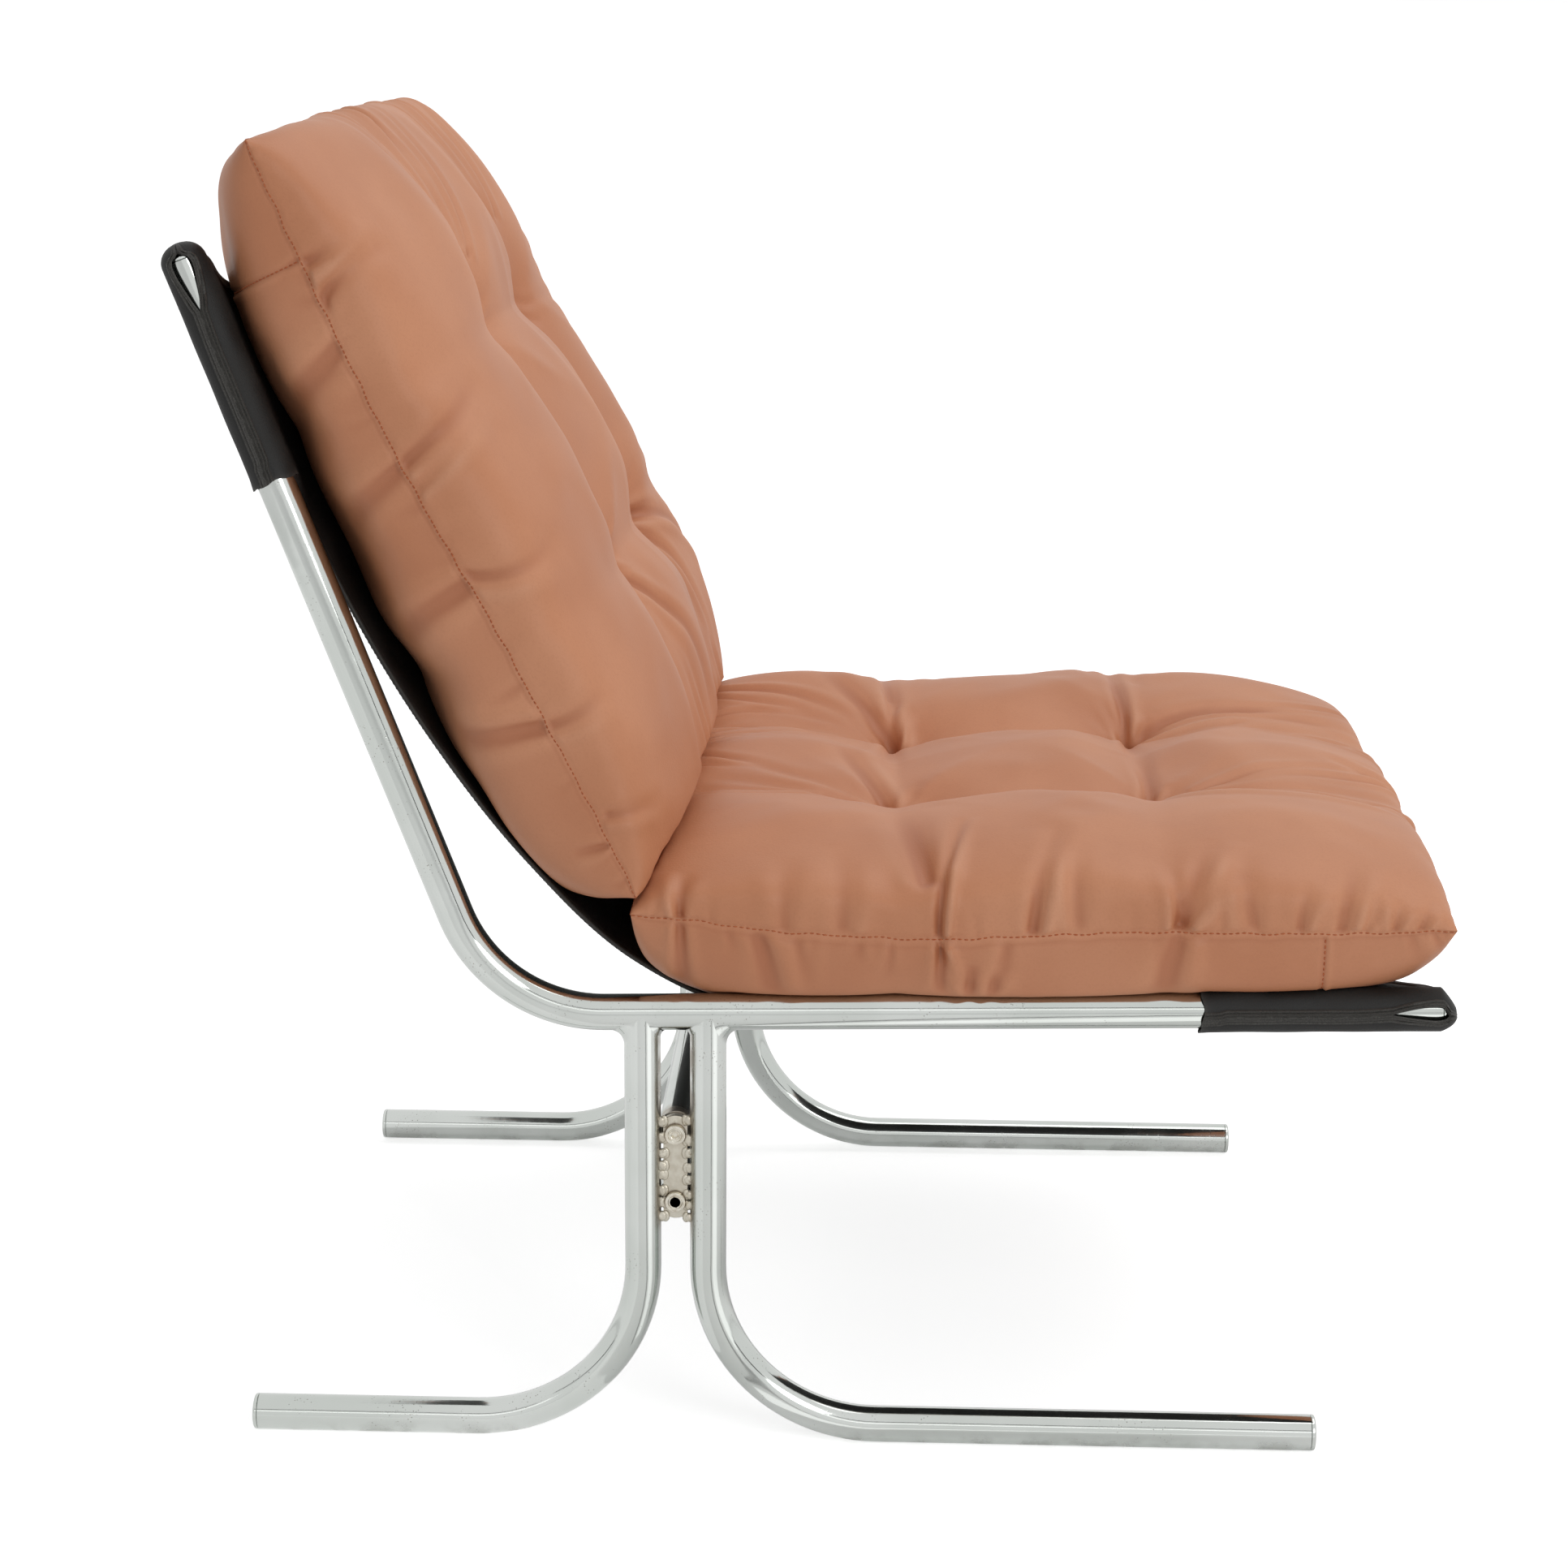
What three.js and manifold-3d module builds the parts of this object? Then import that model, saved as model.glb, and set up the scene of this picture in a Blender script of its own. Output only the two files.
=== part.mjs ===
// Cantilever lounge chair in millimetres: X runs forward, Y to the sitter's left, Z up from the floor.
// Two chromed side frames of bent tube are tied by two stretchers between their legs. A black sling hangs
// from the four open tube ends, and two loose tufted leather cushions lie in it.
import * as THREE from "three";
import { mergeVertices } from "three/addons/utils/BufferGeometryUtils.js";
import Module from "manifold-3d";

const wasm = await Module();
wasm.setup();

// Tube stock of the side frames and the stretchers
const tubeDiameter = 25;
const tubeWall = 2;
const tubeSides = 16;

// Side frame, seen from the side. Reaches are measured from the middle between the two legs.
const sideSpacing = 580;
const railHeight = 313.5;
const railRise = THREE.MathUtils.degToRad(1.2);
const railFrontReach = 516;
const backLean = THREE.MathUtils.degToRad(21);
const backSetback = 122;
const uprightLength = 541;
const seatBendRadius = 105;
const legSpacing = 45;
const legBendRadius = 117;
const rearFootReach = 294;
const frontFootReach = 443;
const bendSteps = 10;

// Domed plugs that close the tube ends
const capRim = 1.5;
const capDome = 1.8;
const capEdge = 1;
const capSpigot = 12;

// Brazed saddle under the rail at each leg
const brazeReach = 7;
const brazeDrop = 9;
const brazeTip = 0.5;
const brazeSkin = 1.6;
const brazeSteps = 5;

// Plate welded between the legs, with the two screws of the stretchers
const plateWidth = 16.5;
const plateHeight = 75;
const plateThickness = 5;
const plateEndRadius = 12;
const plateMiddleHeight = 202;
const screwSpacing = 49;

// Weld beads along the plate's two long edges. Places are shares of the plate's height from its foot.
const beadHeight = 7;
const beadWidth = 6;
const beadDepth = 4;
const beadRootDepth = 2;
const rearBeadShares = [0.1, 0.23, 0.42, 0.52, 0.64, 0.785, 0.94];
const frontBeadShares = [0.05, 0.17, 0.305, 0.44, 0.565, 0.71, 0.9];

// Socket screws and the threaded plugs in the stretchers
const screwHeadDiameter = 14;
const screwHeadHeight = 4;
const screwHeadEdge = 0.7;
const screwShankDiameter = 8;
const screwGrip = 20;
const socketAcross = 5;
const socketSides = 6;
const socketDepth = 2.6;
const plugLength = 22;

// Sling sleeves over the tube ends, and the slit that each has in its outer face
const sleeveWall = 1.3;
const sleeveLength = 170;
const sleeveOverhang = 9;
const sleeveNose = 6;
const sleeveMouth = 5;
const slitLength = 40;
const slitHeight = 12;
const slitInset = 10;
const lapHeight = 11;
const lapThickness = 1;

// Sling panel between the sleeves
const slingThickness = 2.4;
const slingLift = 5;
const topHemDrop = 50;
const frontHemSetback = 70;
const backSag = 4;
const seatSag = 12;
const sagShares = [0.35, 0.75];
// Free edge between the sleeves: shares of the way forward and of the way down
const freeEdgeShares = [
  [0.066, 0.255],
  [0.146, 0.496],
  [0.25, 0.741],
  [0.368, 0.941],
  [0.47, 1.03],
  [0.6, 1.05],
  [0.75, 1.05],
  [0.88, 1.03],
];
const slingRowsAlong = 36;
const slingRowsAcross = 10;

// Cushions. Each has three by three pillows between two by two sewn tufts.
const cushionSideReach = 16;
const seatCushionLength = 550;
const seatCushionSetback = 29;
const seatSeamLift = 70.5;
const seatSeamBow = 12;
const seatHollow = 10;
const seatCrownHeight = 84;
const seatBellyDepth = 92;
const backCushionLength = 552;
const backCushionLean = THREE.MathUtils.degToRad(26.4);
const backCushionSetback = 25;
const backSeamLift = 84.5;
const backCrownHeight = 90;
const backBellyDepth = 98;
const sideOverhang = 9;
const railBridge = 30;
const overhangPlaceShare = 0.03;
const edgeFullnessShare = 3.6;
const tuftPlaceShare = 1 / 3;
const creaseDepthShare = 0.1;
const tuftDepthShare = 0.5;
const tuftSpreadShare = 0.075;
// Rows of the cushion mesh from its seam to its middle, as shares of the whole length or width
const halfRowShares = [0, 0.018, 0.045, 0.085, 0.135, 0.195, 0.265, (1 - tuftPlaceShare) / 2, 0.4, 0.5];
const cushionContactLean = THREE.MathUtils.degToRad(33);

// Clearances: between pieces that touch, between soft pieces, and past what a cut passes through
const seatGap = 0.3;
const softGap = 0.8;
const cutOverrun = 5;
const mergeTolerance = 0.001;

const tubeRadius = tubeDiameter / 2;
const cushionWidth = sideSpacing + 2 * cushionSideReach;
const seatSeamHeight = railHeight + seatSeamLift;
const backSeamHeight = railHeight + backSeamLift;
const boreDiameter = tubeDiameter - 2 * tubeWall;
const sleeveBore = tubeDiameter + 2 * seatGap;
const sleeveOuter = sleeveBore + 2 * sleeveWall;
const facetCornerShare = 1 / Math.cos(Math.PI / tubeSides);

// Closed solids for joining and cutting
function toSolid(geometry) {
  const loose = geometry.index ? geometry.toNonIndexed() : geometry;
  const bare = new THREE.BufferGeometry();
  bare.setAttribute("position", loose.getAttribute("position"));
  const merged = mergeVertices(bare, mergeTolerance);
  const mesh = new wasm.Mesh({
    numProp: 3,
    vertProperties: merged.getAttribute("position").array,
    triVerts: new Uint32Array(merged.index.array),
  });
  return new wasm.Manifold(mesh);
}

function toGeometry(solid) {
  const mesh = solid.getMesh();
  const geometry = new THREE.BufferGeometry();
  geometry.setAttribute("position", new THREE.BufferAttribute(mesh.vertProperties, 3));
  geometry.setIndex(new THREE.BufferAttribute(mesh.triVerts, 1));
  const faceted = geometry.toNonIndexed();
  faceted.computeVertexNormals();
  return faceted;
}

// A many-sided round whose flats, not its corners, lie at the stated width, so that a tube rests on a flat
function roundOutline(across) {
  const points = [];
  const radius = (across / 2) * facetCornerShare;
  for (let corner = 0; corner < tubeSides; corner++) {
    const angle = ((corner + 0.5) * 2 * Math.PI) / tubeSides;
    points.push(new THREE.Vector2(radius * Math.cos(angle), radius * Math.sin(angle)));
  }
  return points;
}

function roundShape(across, bore) {
  const shape = new THREE.Shape(roundOutline(across));
  if (bore > 0) shape.holes.push(new THREE.Path(roundOutline(bore)));
  return shape;
}

// A centre line in an upright plane: straight, one bend, straight.
// Its stations fall only where it bends or ends.
class BentLine extends THREE.Curve {
  constructor(start, heading, firstLength, turn, bendRadius, lastLength) {
    super();
    this.points = [start.clone()];
    this.headings = [heading];
    const side = Math.sign(turn) * bendRadius;
    const bendStart = start.clone().addScaledVector(BentLine.ahead(heading), firstLength);
    for (let step = 0; step <= bendSteps; step++) {
      const now = heading + (turn * step) / bendSteps;
      const across = BentLine.ahead(heading + Math.PI / 2).sub(BentLine.ahead(now + Math.PI / 2));
      this.points.push(bendStart.clone().addScaledVector(across, side));
      this.headings.push(now);
    }
    const bendEnd = this.points[this.points.length - 1];
    this.points.push(bendEnd.clone().addScaledVector(BentLine.ahead(heading + turn), lastLength));
    this.headings.push(heading + turn);
  }

  static ahead(heading) {
    return new THREE.Vector3(Math.cos(heading), 0, Math.sin(heading));
  }

  get spans() {
    return this.points.length - 1;
  }

  getPointAt(share, target = new THREE.Vector3()) {
    const place = Math.min(share * this.spans, this.spans);
    const before = Math.min(Math.floor(place + mergeTolerance), this.spans - 1);
    return target.lerpVectors(this.points[before], this.points[before + 1], place - before);
  }

  getTangentAt(share, target = new THREE.Vector3()) {
    const station = Math.round(share * this.spans);
    return target.copy(BentLine.ahead(this.headings[station]));
  }
}

function sweep(line, shape) {
  const settings = { steps: line.spans, extrudePath: line, bevelEnabled: false };
  return toSolid(new THREE.ExtrudeGeometry(shape, settings));
}

// A turned piece about its own Y axis. The profile gives the width across flats and the place along the axis.
function turned(profile) {
  const points = profile.map(([across, along]) => new THREE.Vector2((across / 2) * facetCornerShare, along));
  return toSolid(new THREE.LatheGeometry(points, tubeSides, Math.PI / tubeSides));
}

// A flat outline in X and Z, with its thickness centred on Y = 0
function slab(shape, thickness, curveSegments) {
  const geometry = new THREE.ExtrudeGeometry(shape, { depth: thickness, bevelEnabled: false, curveSegments });
  geometry.rotateX(Math.PI / 2);
  geometry.translate(0, thickness / 2, 0);
  return toSolid(geometry);
}

// Turns a solid made along Y so that it points along a heading in the frame's plane, then moves it there
function aim(solid, heading, place) {
  const turn = new THREE.Matrix4().makeBasis(
    BentLine.ahead(heading - Math.PI / 2),
    BentLine.ahead(heading),
    new THREE.Vector3(0, -1, 0)
  );
  turn.setPosition(place);
  return solid.transform(turn.toArray());
}

// Centre lines of one side frame, in its own plane at Y = 0
function railAxisHeight(forward) {
  return railHeight + forward * Math.tan(railRise);
}

const uprightHeading = backLean - Math.PI / 2;
const seatTurn = railRise - uprightHeading;
const seatCorner = new THREE.Vector3(-backSetback, 0, railAxisHeight(-backSetback));
const seatTangent = seatBendRadius * Math.tan(seatTurn / 2);
const uprightEnd = seatCorner.clone().addScaledVector(BentLine.ahead(uprightHeading), -uprightLength);
const railLength = (railFrontReach + backSetback) / Math.cos(railRise);
const railEnd = seatCorner.clone().addScaledVector(BentLine.ahead(railRise), railLength);
const railLine = new BentLine(
  uprightEnd,
  uprightHeading,
  uprightLength - seatTangent,
  seatTurn,
  seatBendRadius,
  railLength - seatTangent
);

function legTop(forward) {
  return new THREE.Vector3(forward, 0, railAxisHeight(forward));
}

// A leg drops from the rail, bends outwards and runs along the floor: direction 1 is forward, -1 is back
function legLine(direction, footReach) {
  const top = legTop((direction * legSpacing) / 2);
  const drop = top.z - tubeRadius - legBendRadius;
  const run = footReach - legSpacing / 2 - legBendRadius;
  return new BentLine(top, -Math.PI / 2, drop, (direction * Math.PI) / 2, legBendRadius, run);
}

const rearLegLine = legLine(-1, rearFootReach);
const frontLegLine = legLine(1, frontFootReach);
const railCutter = sweep(railLine, roundShape(sleeveBore));

// The seat rail and back upright are one bent tube
function makeRail() {
  return sweep(railLine, roundShape(tubeDiameter, boreDiameter));
}

// A leg is coped to sit up against the rail's underside
function makeLeg(line) {
  return sweep(line, roundShape(tubeDiameter, boreDiameter)).subtract(railCutter);
}

// The saddle of braze metal flares from the leg into the rail, and thins out round the tube's flanks
function makeBraze(line) {
  const tipWidth = tubeDiameter + 2 * brazeTip;
  const profile = [[0, -tubeRadius - brazeDrop]];
  for (let step = 0; step <= brazeSteps; step++) {
    const angle = (step / brazeSteps) * (Math.PI / 2);
    const width = tipWidth + 2 * brazeReach * (1 - Math.cos(angle));
    profile.push([width, brazeDrop * Math.sin(angle) - tubeRadius - brazeDrop]);
  }
  profile.push([tipWidth + 2 * brazeReach, 0], [0, 0]);
  const flankShare = (tubeRadius + brazeSkin) / (tubeRadius + brazeTip + brazeReach);
  const flare = aim(turned(profile).scale([1, 1, flankShare]), Math.PI / 2, line.points[0]);
  return flare.subtract(railCutter).subtract(sweep(line, roundShape(sleeveBore)));
}

// A domed plug with a spigot closes each tube end
function makeCap(line, station) {
  const outward = station === 0 ? line.headings[0] + Math.PI : line.headings[station];
  const spigotWidth = boreDiameter - 2 * seatGap;
  const profile = [
    [0, -capSpigot],
    [spigotWidth, -capSpigot],
    [spigotWidth, seatGap],
    [tubeDiameter, seatGap],
    [tubeDiameter, seatGap + capRim],
    [tubeDiameter - 2 * capEdge, seatGap + capRim + capEdge],
    [tubeDiameter / 2, seatGap + capRim + capDome],
    [0, seatGap + capRim + capDome],
  ];
  return aim(turned(profile), outward, line.points[station]);
}

// Leg plate: long sides stand clear of the legs for the welds, and its ends are rounded
function plateShape(grow) {
  const halfWidth = plateWidth / 2 + grow;
  const endRadius = plateEndRadius + grow;
  const endCentre = plateHeight / 2 - plateEndRadius;
  const spread = Math.acos(halfWidth / endRadius);
  const shape = new THREE.Shape();
  shape.absarc(0, endCentre, endRadius, spread, Math.PI - spread, false);
  shape.absarc(0, -endCentre, endRadius, Math.PI + spread, 2 * Math.PI - spread, false);
  shape.closePath();
  return shape;
}

function makePlate() {
  const shape = plateShape(0);
  for (const side of [-1, 1]) {
    const hole = new THREE.Path();
    hole.absarc(0, (side * screwSpacing) / 2, screwShankDiameter / 2 + seatGap, 0, 2 * Math.PI, true);
    shape.holes.push(hole);
  }
  return slab(shape, plateThickness, 6).translate([0, 0, plateMiddleHeight]);
}

// A row of weld beads lies over the gap between plate and leg, on a thin root run behind them
function makeWeld(direction, beadShares, leg) {
  const seamPlace = direction * (plateWidth / 2 + (legSpacing / 2 - tubeRadius - plateWidth / 2) / 2);
  const faceDepth = -plateThickness / 2;
  const root = new THREE.BoxGeometry(beadWidth / 2, beadRootDepth, plateHeight - beadHeight);
  let weld = toSolid(root).translate([seamPlace, faceDepth + beadRootDepth / 2 + beadDepth / 4, 0]);
  for (const share of beadShares) {
    const bead = new THREE.SphereGeometry(1, 6, 4);
    bead.rotateX(Math.PI / 2);
    bead.scale(beadWidth / 2, beadDepth / 2, beadHeight / 2);
    bead.translate(seamPlace, faceDepth, (share - 0.5) * plateHeight);
    weld = weld.add(toSolid(bead));
  }
  weld = weld.subtract(slab(plateShape(seatGap), plateThickness + 2 * seatGap, 6));
  const headWidth = screwHeadDiameter + 2 * seatGap;
  const headReach = beadDepth + plateThickness;
  const headCutter = turned([[0, -headReach], [headWidth, -headReach], [headWidth, 0], [0, 0]]);
  for (const side of [-1, 1]) weld = weld.subtract(headCutter.translate([0, 0, (side * screwSpacing) / 2]));
  return weld.translate([0, 0, plateMiddleHeight]).subtract(sweep(leg, roundShape(sleeveBore)));
}

// A low socket screw passes through the plate from outside into the stretcher's plug
function makeScrew(height) {
  const seat = plateThickness / 2 + seatGap;
  const headFace = seat + screwHeadHeight;
  const profile = [
    [0, -plateThickness / 2 - screwGrip],
    [screwShankDiameter, -plateThickness / 2 - screwGrip],
    [screwShankDiameter, seat],
    [screwHeadDiameter, seat],
    [screwHeadDiameter, headFace - screwHeadEdge],
    [screwHeadDiameter - 2 * screwHeadEdge, headFace],
    [0, headFace],
  ];
  const socketRadius = socketAcross / 2 / Math.cos(Math.PI / socketSides);
  const socketHeight = socketDepth + cutOverrun;
  const socket = new THREE.CylinderGeometry(socketRadius, socketRadius, socketHeight, socketSides);
  socket.translate(0, headFace - socketDepth + socketHeight / 2, 0);
  const screw = turned(profile).subtract(toSolid(socket));
  return screw.rotate([0, 0, 180]).translate([0, 0, height]);
}

// A stretcher's end beds in the cradle between the two legs, as far in as its width lets it go
const cradleHalfWidth = legSpacing / 2 - tubeRadius;
const cradleDepth = Math.sqrt(Math.max(0, (tubeRadius * facetCornerShare) ** 2 - cradleHalfWidth ** 2));
const stretcherInset = Math.max(cradleDepth, plateThickness / 2) + seatGap;

// A threaded plug fills each end of a stretcher
function makePlug(height) {
  const shape = roundShape(boreDiameter - 2 * seatGap, screwShankDiameter + 2 * seatGap);
  return slab(shape, plugLength, 1).translate([0, stretcherInset + plugLength / 2, height]);
}

function makeStretcher(height) {
  const length = sideSpacing - 2 * stretcherInset;
  return slab(roundShape(tubeDiameter, boreDiameter), length, 1).translate([0, 0, height]);
}

// A sleeve of the sling: a sock over the tube end, lapped and sewn on its outer face,
// and open in a slit near the end
function teardrop() {
  const half = slitHeight / 2;
  const shape = new THREE.Shape();
  shape.moveTo(0, slitLength);
  shape.quadraticCurveTo(half, slitLength - half, half, half);
  shape.quadraticCurveTo(half, 0, 0, 0);
  shape.quadraticCurveTo(-half, 0, -half, half);
  shape.quadraticCurveTo(-half, slitLength - half, 0, slitLength);
  return shape;
}

function makeSleeve(line, station) {
  const outward = station === 0 ? line.headings[0] + Math.PI : line.headings[station];
  const mouth = sleeveOverhang - sleeveLength;
  const noseStart = sleeveOverhang - sleeveNose;
  const profile = [
    [sleeveBore, mouth],
    [sleeveOuter, mouth],
    [sleeveOuter, noseStart],
    [(sleeveOuter + sleeveMouth) / 2 + sleeveWall, sleeveOverhang - sleeveNose / 4],
    [sleeveMouth + 2 * sleeveWall, sleeveOverhang],
    [sleeveMouth, sleeveOverhang - sleeveWall / 2],
    [(sleeveBore + sleeveMouth) / 2, sleeveOverhang - sleeveWall],
    [sleeveBore, noseStart],
    [sleeveBore, mouth],
  ];
  const lapLength = sleeveLength - slitInset - slitLength;
  const lap = new THREE.BoxGeometry(lapHeight, lapLength, sleeveWall / 2 + lapThickness);
  lap.translate(0, mouth + lapLength / 2, sleeveOuter / 2 + lapThickness / 2 - sleeveWall / 4);
  const slitSettings = { depth: sleeveOuter, bevelEnabled: false, curveSegments: 4 };
  const slit = new THREE.ExtrudeGeometry(teardrop(), slitSettings);
  slit.rotateZ(Math.PI);
  slit.translate(0, sleeveOverhang - slitInset, tubeRadius / 2);
  return aim(turned(profile).add(toSolid(lap)).subtract(toSolid(slit)), outward, line.points[station]);
}

// Side line of the sling, from the top of the upright down to the front of the rail
const panelHalfWidth = sideSpacing / 2 - (sleeveOuter / 2) * facetCornerShare - seatGap;

function beside(line, station, back, lift) {
  const heading = line.headings[station];
  const point = line.points[station].clone().addScaledVector(BentLine.ahead(heading), back);
  return point.addScaledVector(BentLine.ahead(heading + Math.PI / 2), lift);
}

function slingSideLine() {
  const last = railLine.spans;
  const backMouth = beside(railLine, 0, sleeveLength - sleeveOverhang, slingLift);
  const frontMouth = beside(railLine, last, sleeveOverhang - sleeveLength, slingLift);
  const points = [beside(railLine, 0, 0, slingLift)];
  points.push(beside(railLine, 0, sleeveLength / 2, slingLift), backMouth);
  for (const [forwardShare, downShare] of freeEdgeShares) {
    const x = backMouth.x + forwardShare * (frontMouth.x - backMouth.x);
    const z = backMouth.z + downShare * (frontMouth.z - backMouth.z);
    points.push(new THREE.Vector3(x, 0, z));
  }
  points.push(frontMouth, beside(railLine, last, -sleeveLength / 2, slingLift));
  points.push(beside(railLine, last, 0, slingLift));
  const line = new THREE.CatmullRomCurve3(points, false, "centripetal");
  line.arcLengthDivisions = 400;
  return line;
}

const sideLine = slingSideLine();
const sideLineLength = sideLine.getLength();

// A point of the sling: share along the side line, share across from the middle to the edge,
// and lift off its middle layer
function slingPoint(along, across, lift) {
  const heading = sideLine.getTangentAt(along);
  const hang = 1 - across * across;
  const sag = THREE.MathUtils.lerp(backSag, seatSag, THREE.MathUtils.smoothstep(along, ...sagShares)) * hang;
  const inward = new THREE.Vector3(-heading.z, 0, heading.x);
  const point = sideLine.getPointAt(along).addScaledVector(inward, lift - sag);
  point.y = across * panelHalfWidth;
  return point;
}

// The hems at the top and the front are cut in a hollow curve
function hemmedShare(row, across) {
  const hang = 1 - across * across;
  const top = (topHemDrop * hang) / sideLineLength;
  const front = 1 - (frontHemSetback * hang) / sideLineLength;
  return THREE.MathUtils.lerp(top, front, row);
}

// A closed solid between two grids of points that share their order.
// Each cell is split towards its own corner.
function gridSolid(rowsAlong, rowsAcross, upperPoint, lowerPoint, sharedEdge) {
  const positions = [];
  const corner = (surface, i, j) => surface(i / rowsAlong, (2 * j) / rowsAcross - 1);
  const triangle = (...corners) => corners.forEach((point) => positions.push(point.x, point.y, point.z));
  const quad = (a, b, c, d) => {
    triangle(a, b, c);
    triangle(a, c, d);
  };
  for (let i = 0; i < rowsAlong; i++) {
    for (let j = 0; j < rowsAcross; j++) {
      const cell = [[i, j], [i + 1, j], [i + 1, j + 1], [i, j + 1]];
      if (2 * i < rowsAlong !== 2 * j < rowsAcross) cell.push(cell.shift());
      quad(...cell.map(([u, v]) => corner(upperPoint, u, v)));
      quad(...cell.reverse().map(([u, v]) => corner(lowerPoint, u, v)));
    }
  }
  const wall = (i0, j0, i1, j1) => {
    const first = [corner(upperPoint, i0, j0), corner(lowerPoint, i0, j0)];
    quad(...first, corner(lowerPoint, i1, j1), corner(upperPoint, i1, j1));
  };
  for (let i = 0; i < rowsAlong && !sharedEdge; i++) {
    wall(i, 0, i + 1, 0);
    wall(i + 1, rowsAcross, i, rowsAcross);
  }
  for (let j = 0; j < rowsAcross && !sharedEdge; j++) {
    wall(0, j + 1, 0, j);
    wall(rowsAlong, j, rowsAlong, j + 1);
  }
  const geometry = new THREE.BufferGeometry();
  geometry.setAttribute("position", new THREE.Float32BufferAttribute(positions, 3));
  return toSolid(geometry);
}

function makeSlingPanel() {
  const face = (lift) => (row, across) => slingPoint(hemmedShare(row, across), across, lift);
  const half = slingThickness / 2;
  return gridSolid(slingRowsAlong, slingRowsAcross, face(half), face(-half), false);
}

// Height of whatever a cushion lies on at a place: the sling's upper face, or the rail or sleeve at its sides
function supportHeight(x, y) {
  const across = THREE.MathUtils.clamp(y / panelHalfWidth, -1, 1);
  let low = 0;
  let high = 1;
  for (let step = 0; step < 24; step++) {
    const middle = (low + high) / 2;
    if (slingPoint(middle, across, slingThickness / 2).x < x) low = middle;
    else high = middle;
  }
  const sling = slingPoint(low, across, slingThickness / 2).z;
  const overFrame = Math.abs(y) > panelHalfWidth - railBridge && x > -backSetback + seatTangent;
  const frame = railAxisHeight(x) + (sleeveOuter / 2) * facetCornerShare;
  return overFrame ? Math.max(sling, frame) : sling;
}

// Moves a point along a direction until it lies clear above its support
function liftClear(point, direction) {
  const clear = (distance) => {
    const moved = point.clone().addScaledVector(direction, distance);
    return moved.z > supportHeight(moved.x, moved.y) + softGap / direction.z ? moved : null;
  };
  let best = clear(0);
  if (best) return best;
  let near = 0;
  let far = cushionWidth / 2;
  for (let step = 0; step < 24; step++) {
    const middle = (near + far) / 2;
    const moved = clear(middle);
    if (moved) {
      best = moved;
      far = middle;
    } else near = middle;
  }
  return best ?? point.clone().addScaledVector(direction, far);
}

// Rows lie closer together near the seam, where a cushion turns most
const cushionRows = 2 * (halfRowShares.length - 1);

function rowShare(evenShare) {
  const row = Math.round(evenShare * cushionRows);
  return row < halfRowShares.length ? halfRowShares[row] : 1 - halfRowShares[cushionRows - row];
}

function edgeRise(place) {
  return Math.sqrt(Math.max(0, 1 - Math.pow(Math.abs(place), edgeFullnessShare)));
}

function tuftLine(place) {
  const away = (Math.abs(place) - tuftPlaceShare) / (2 * tuftSpreadShare);
  return Math.exp(-away * away);
}

// Height of a filled cushion over its seam, as a share of its crown.
// Places run from -1 to 1 between the seams.
function pillowShare(along, across) {
  const lengthwise = tuftLine(along);
  const crosswise = tuftLine(across);
  const crease = creaseDepthShare * (lengthwise + crosswise - lengthwise * crosswise);
  return edgeRise(along) * edgeRise(across) * (1 - crease - tuftDepthShare * lengthwise * crosswise);
}

// The filling pushes each panel out past its seam, least at the corners and where the tufts hold it
function overhang(place, otherPlace) {
  const fromSeam = (1 - Math.abs(place)) / (2 * overhangPlaceShare);
  const swell = fromSeam * Math.exp(1 - fromSeam) * edgeRise(otherPlace) * (1 - tuftLine(otherPlace) / 2);
  return Math.sign(place) * sideOverhang * swell;
}

// The plane in which the back cushion's foot presses on the seat cushion's rear
const contactAway = new THREE.Vector3(Math.cos(cushionContactLean), 0, -Math.sin(cushionContactLean));
const contactForward = -(seatCushionSetback + backCushionSetback) / 2;
const contactPlace = new THREE.Vector3(contactForward, 0, (seatSeamHeight + backSeamHeight) / 2);

function keepApart(point, side) {
  const beyond = side * (point.clone().sub(contactPlace).dot(contactAway)) - softGap / 2;
  if (beyond < 0) point.addScaledVector(contactAway, -side * beyond);
  return point;
}

// A cushion is two sewn panels over a filling. Start is the middle of the seam at one end,
// ahead runs along the cushion, and up leaves its crowned face. The seam bows down between its ends,
// and the middle may lie hollow.
function cushionSolid(place, form) {
  const { start, ahead, up, side } = place;
  const { length, crown, belly, bow, hollow } = form;
  const face = (height) => (evenAlong, evenAcross) => {
    const along = 2 * rowShare(evenAlong) - 1;
    const across = 2 * rowShare((evenAcross + 1) / 2) - 1;
    const bend = Math.cos((Math.PI / 2) * along);
    const reach = (length / 2) * (1 + along) + overhang(along, across);
    const lift = height * pillowShare(along, across) - bend * (bow + hollow * (1 - across * across));
    const point = start.clone().addScaledVector(ahead, reach).addScaledVector(up, lift);
    point.y = (cushionWidth / 2) * across + overhang(across, along);
    return keepApart(height < 0 ? liftClear(point, up) : point, side);
  };
  return gridSolid(cushionRows, cushionRows, face(crown), face(-belly), true);
}

function makeSeatCushion() {
  const start = new THREE.Vector3(-seatCushionSetback, 0, seatSeamHeight);
  const place = { start, ahead: new THREE.Vector3(1, 0, 0), up: new THREE.Vector3(0, 0, 1), side: 1 };
  return cushionSolid(place, {
    length: seatCushionLength,
    crown: seatCrownHeight,
    belly: seatBellyDepth,
    bow: seatSeamBow,
    hollow: seatHollow,
  });
}

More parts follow.
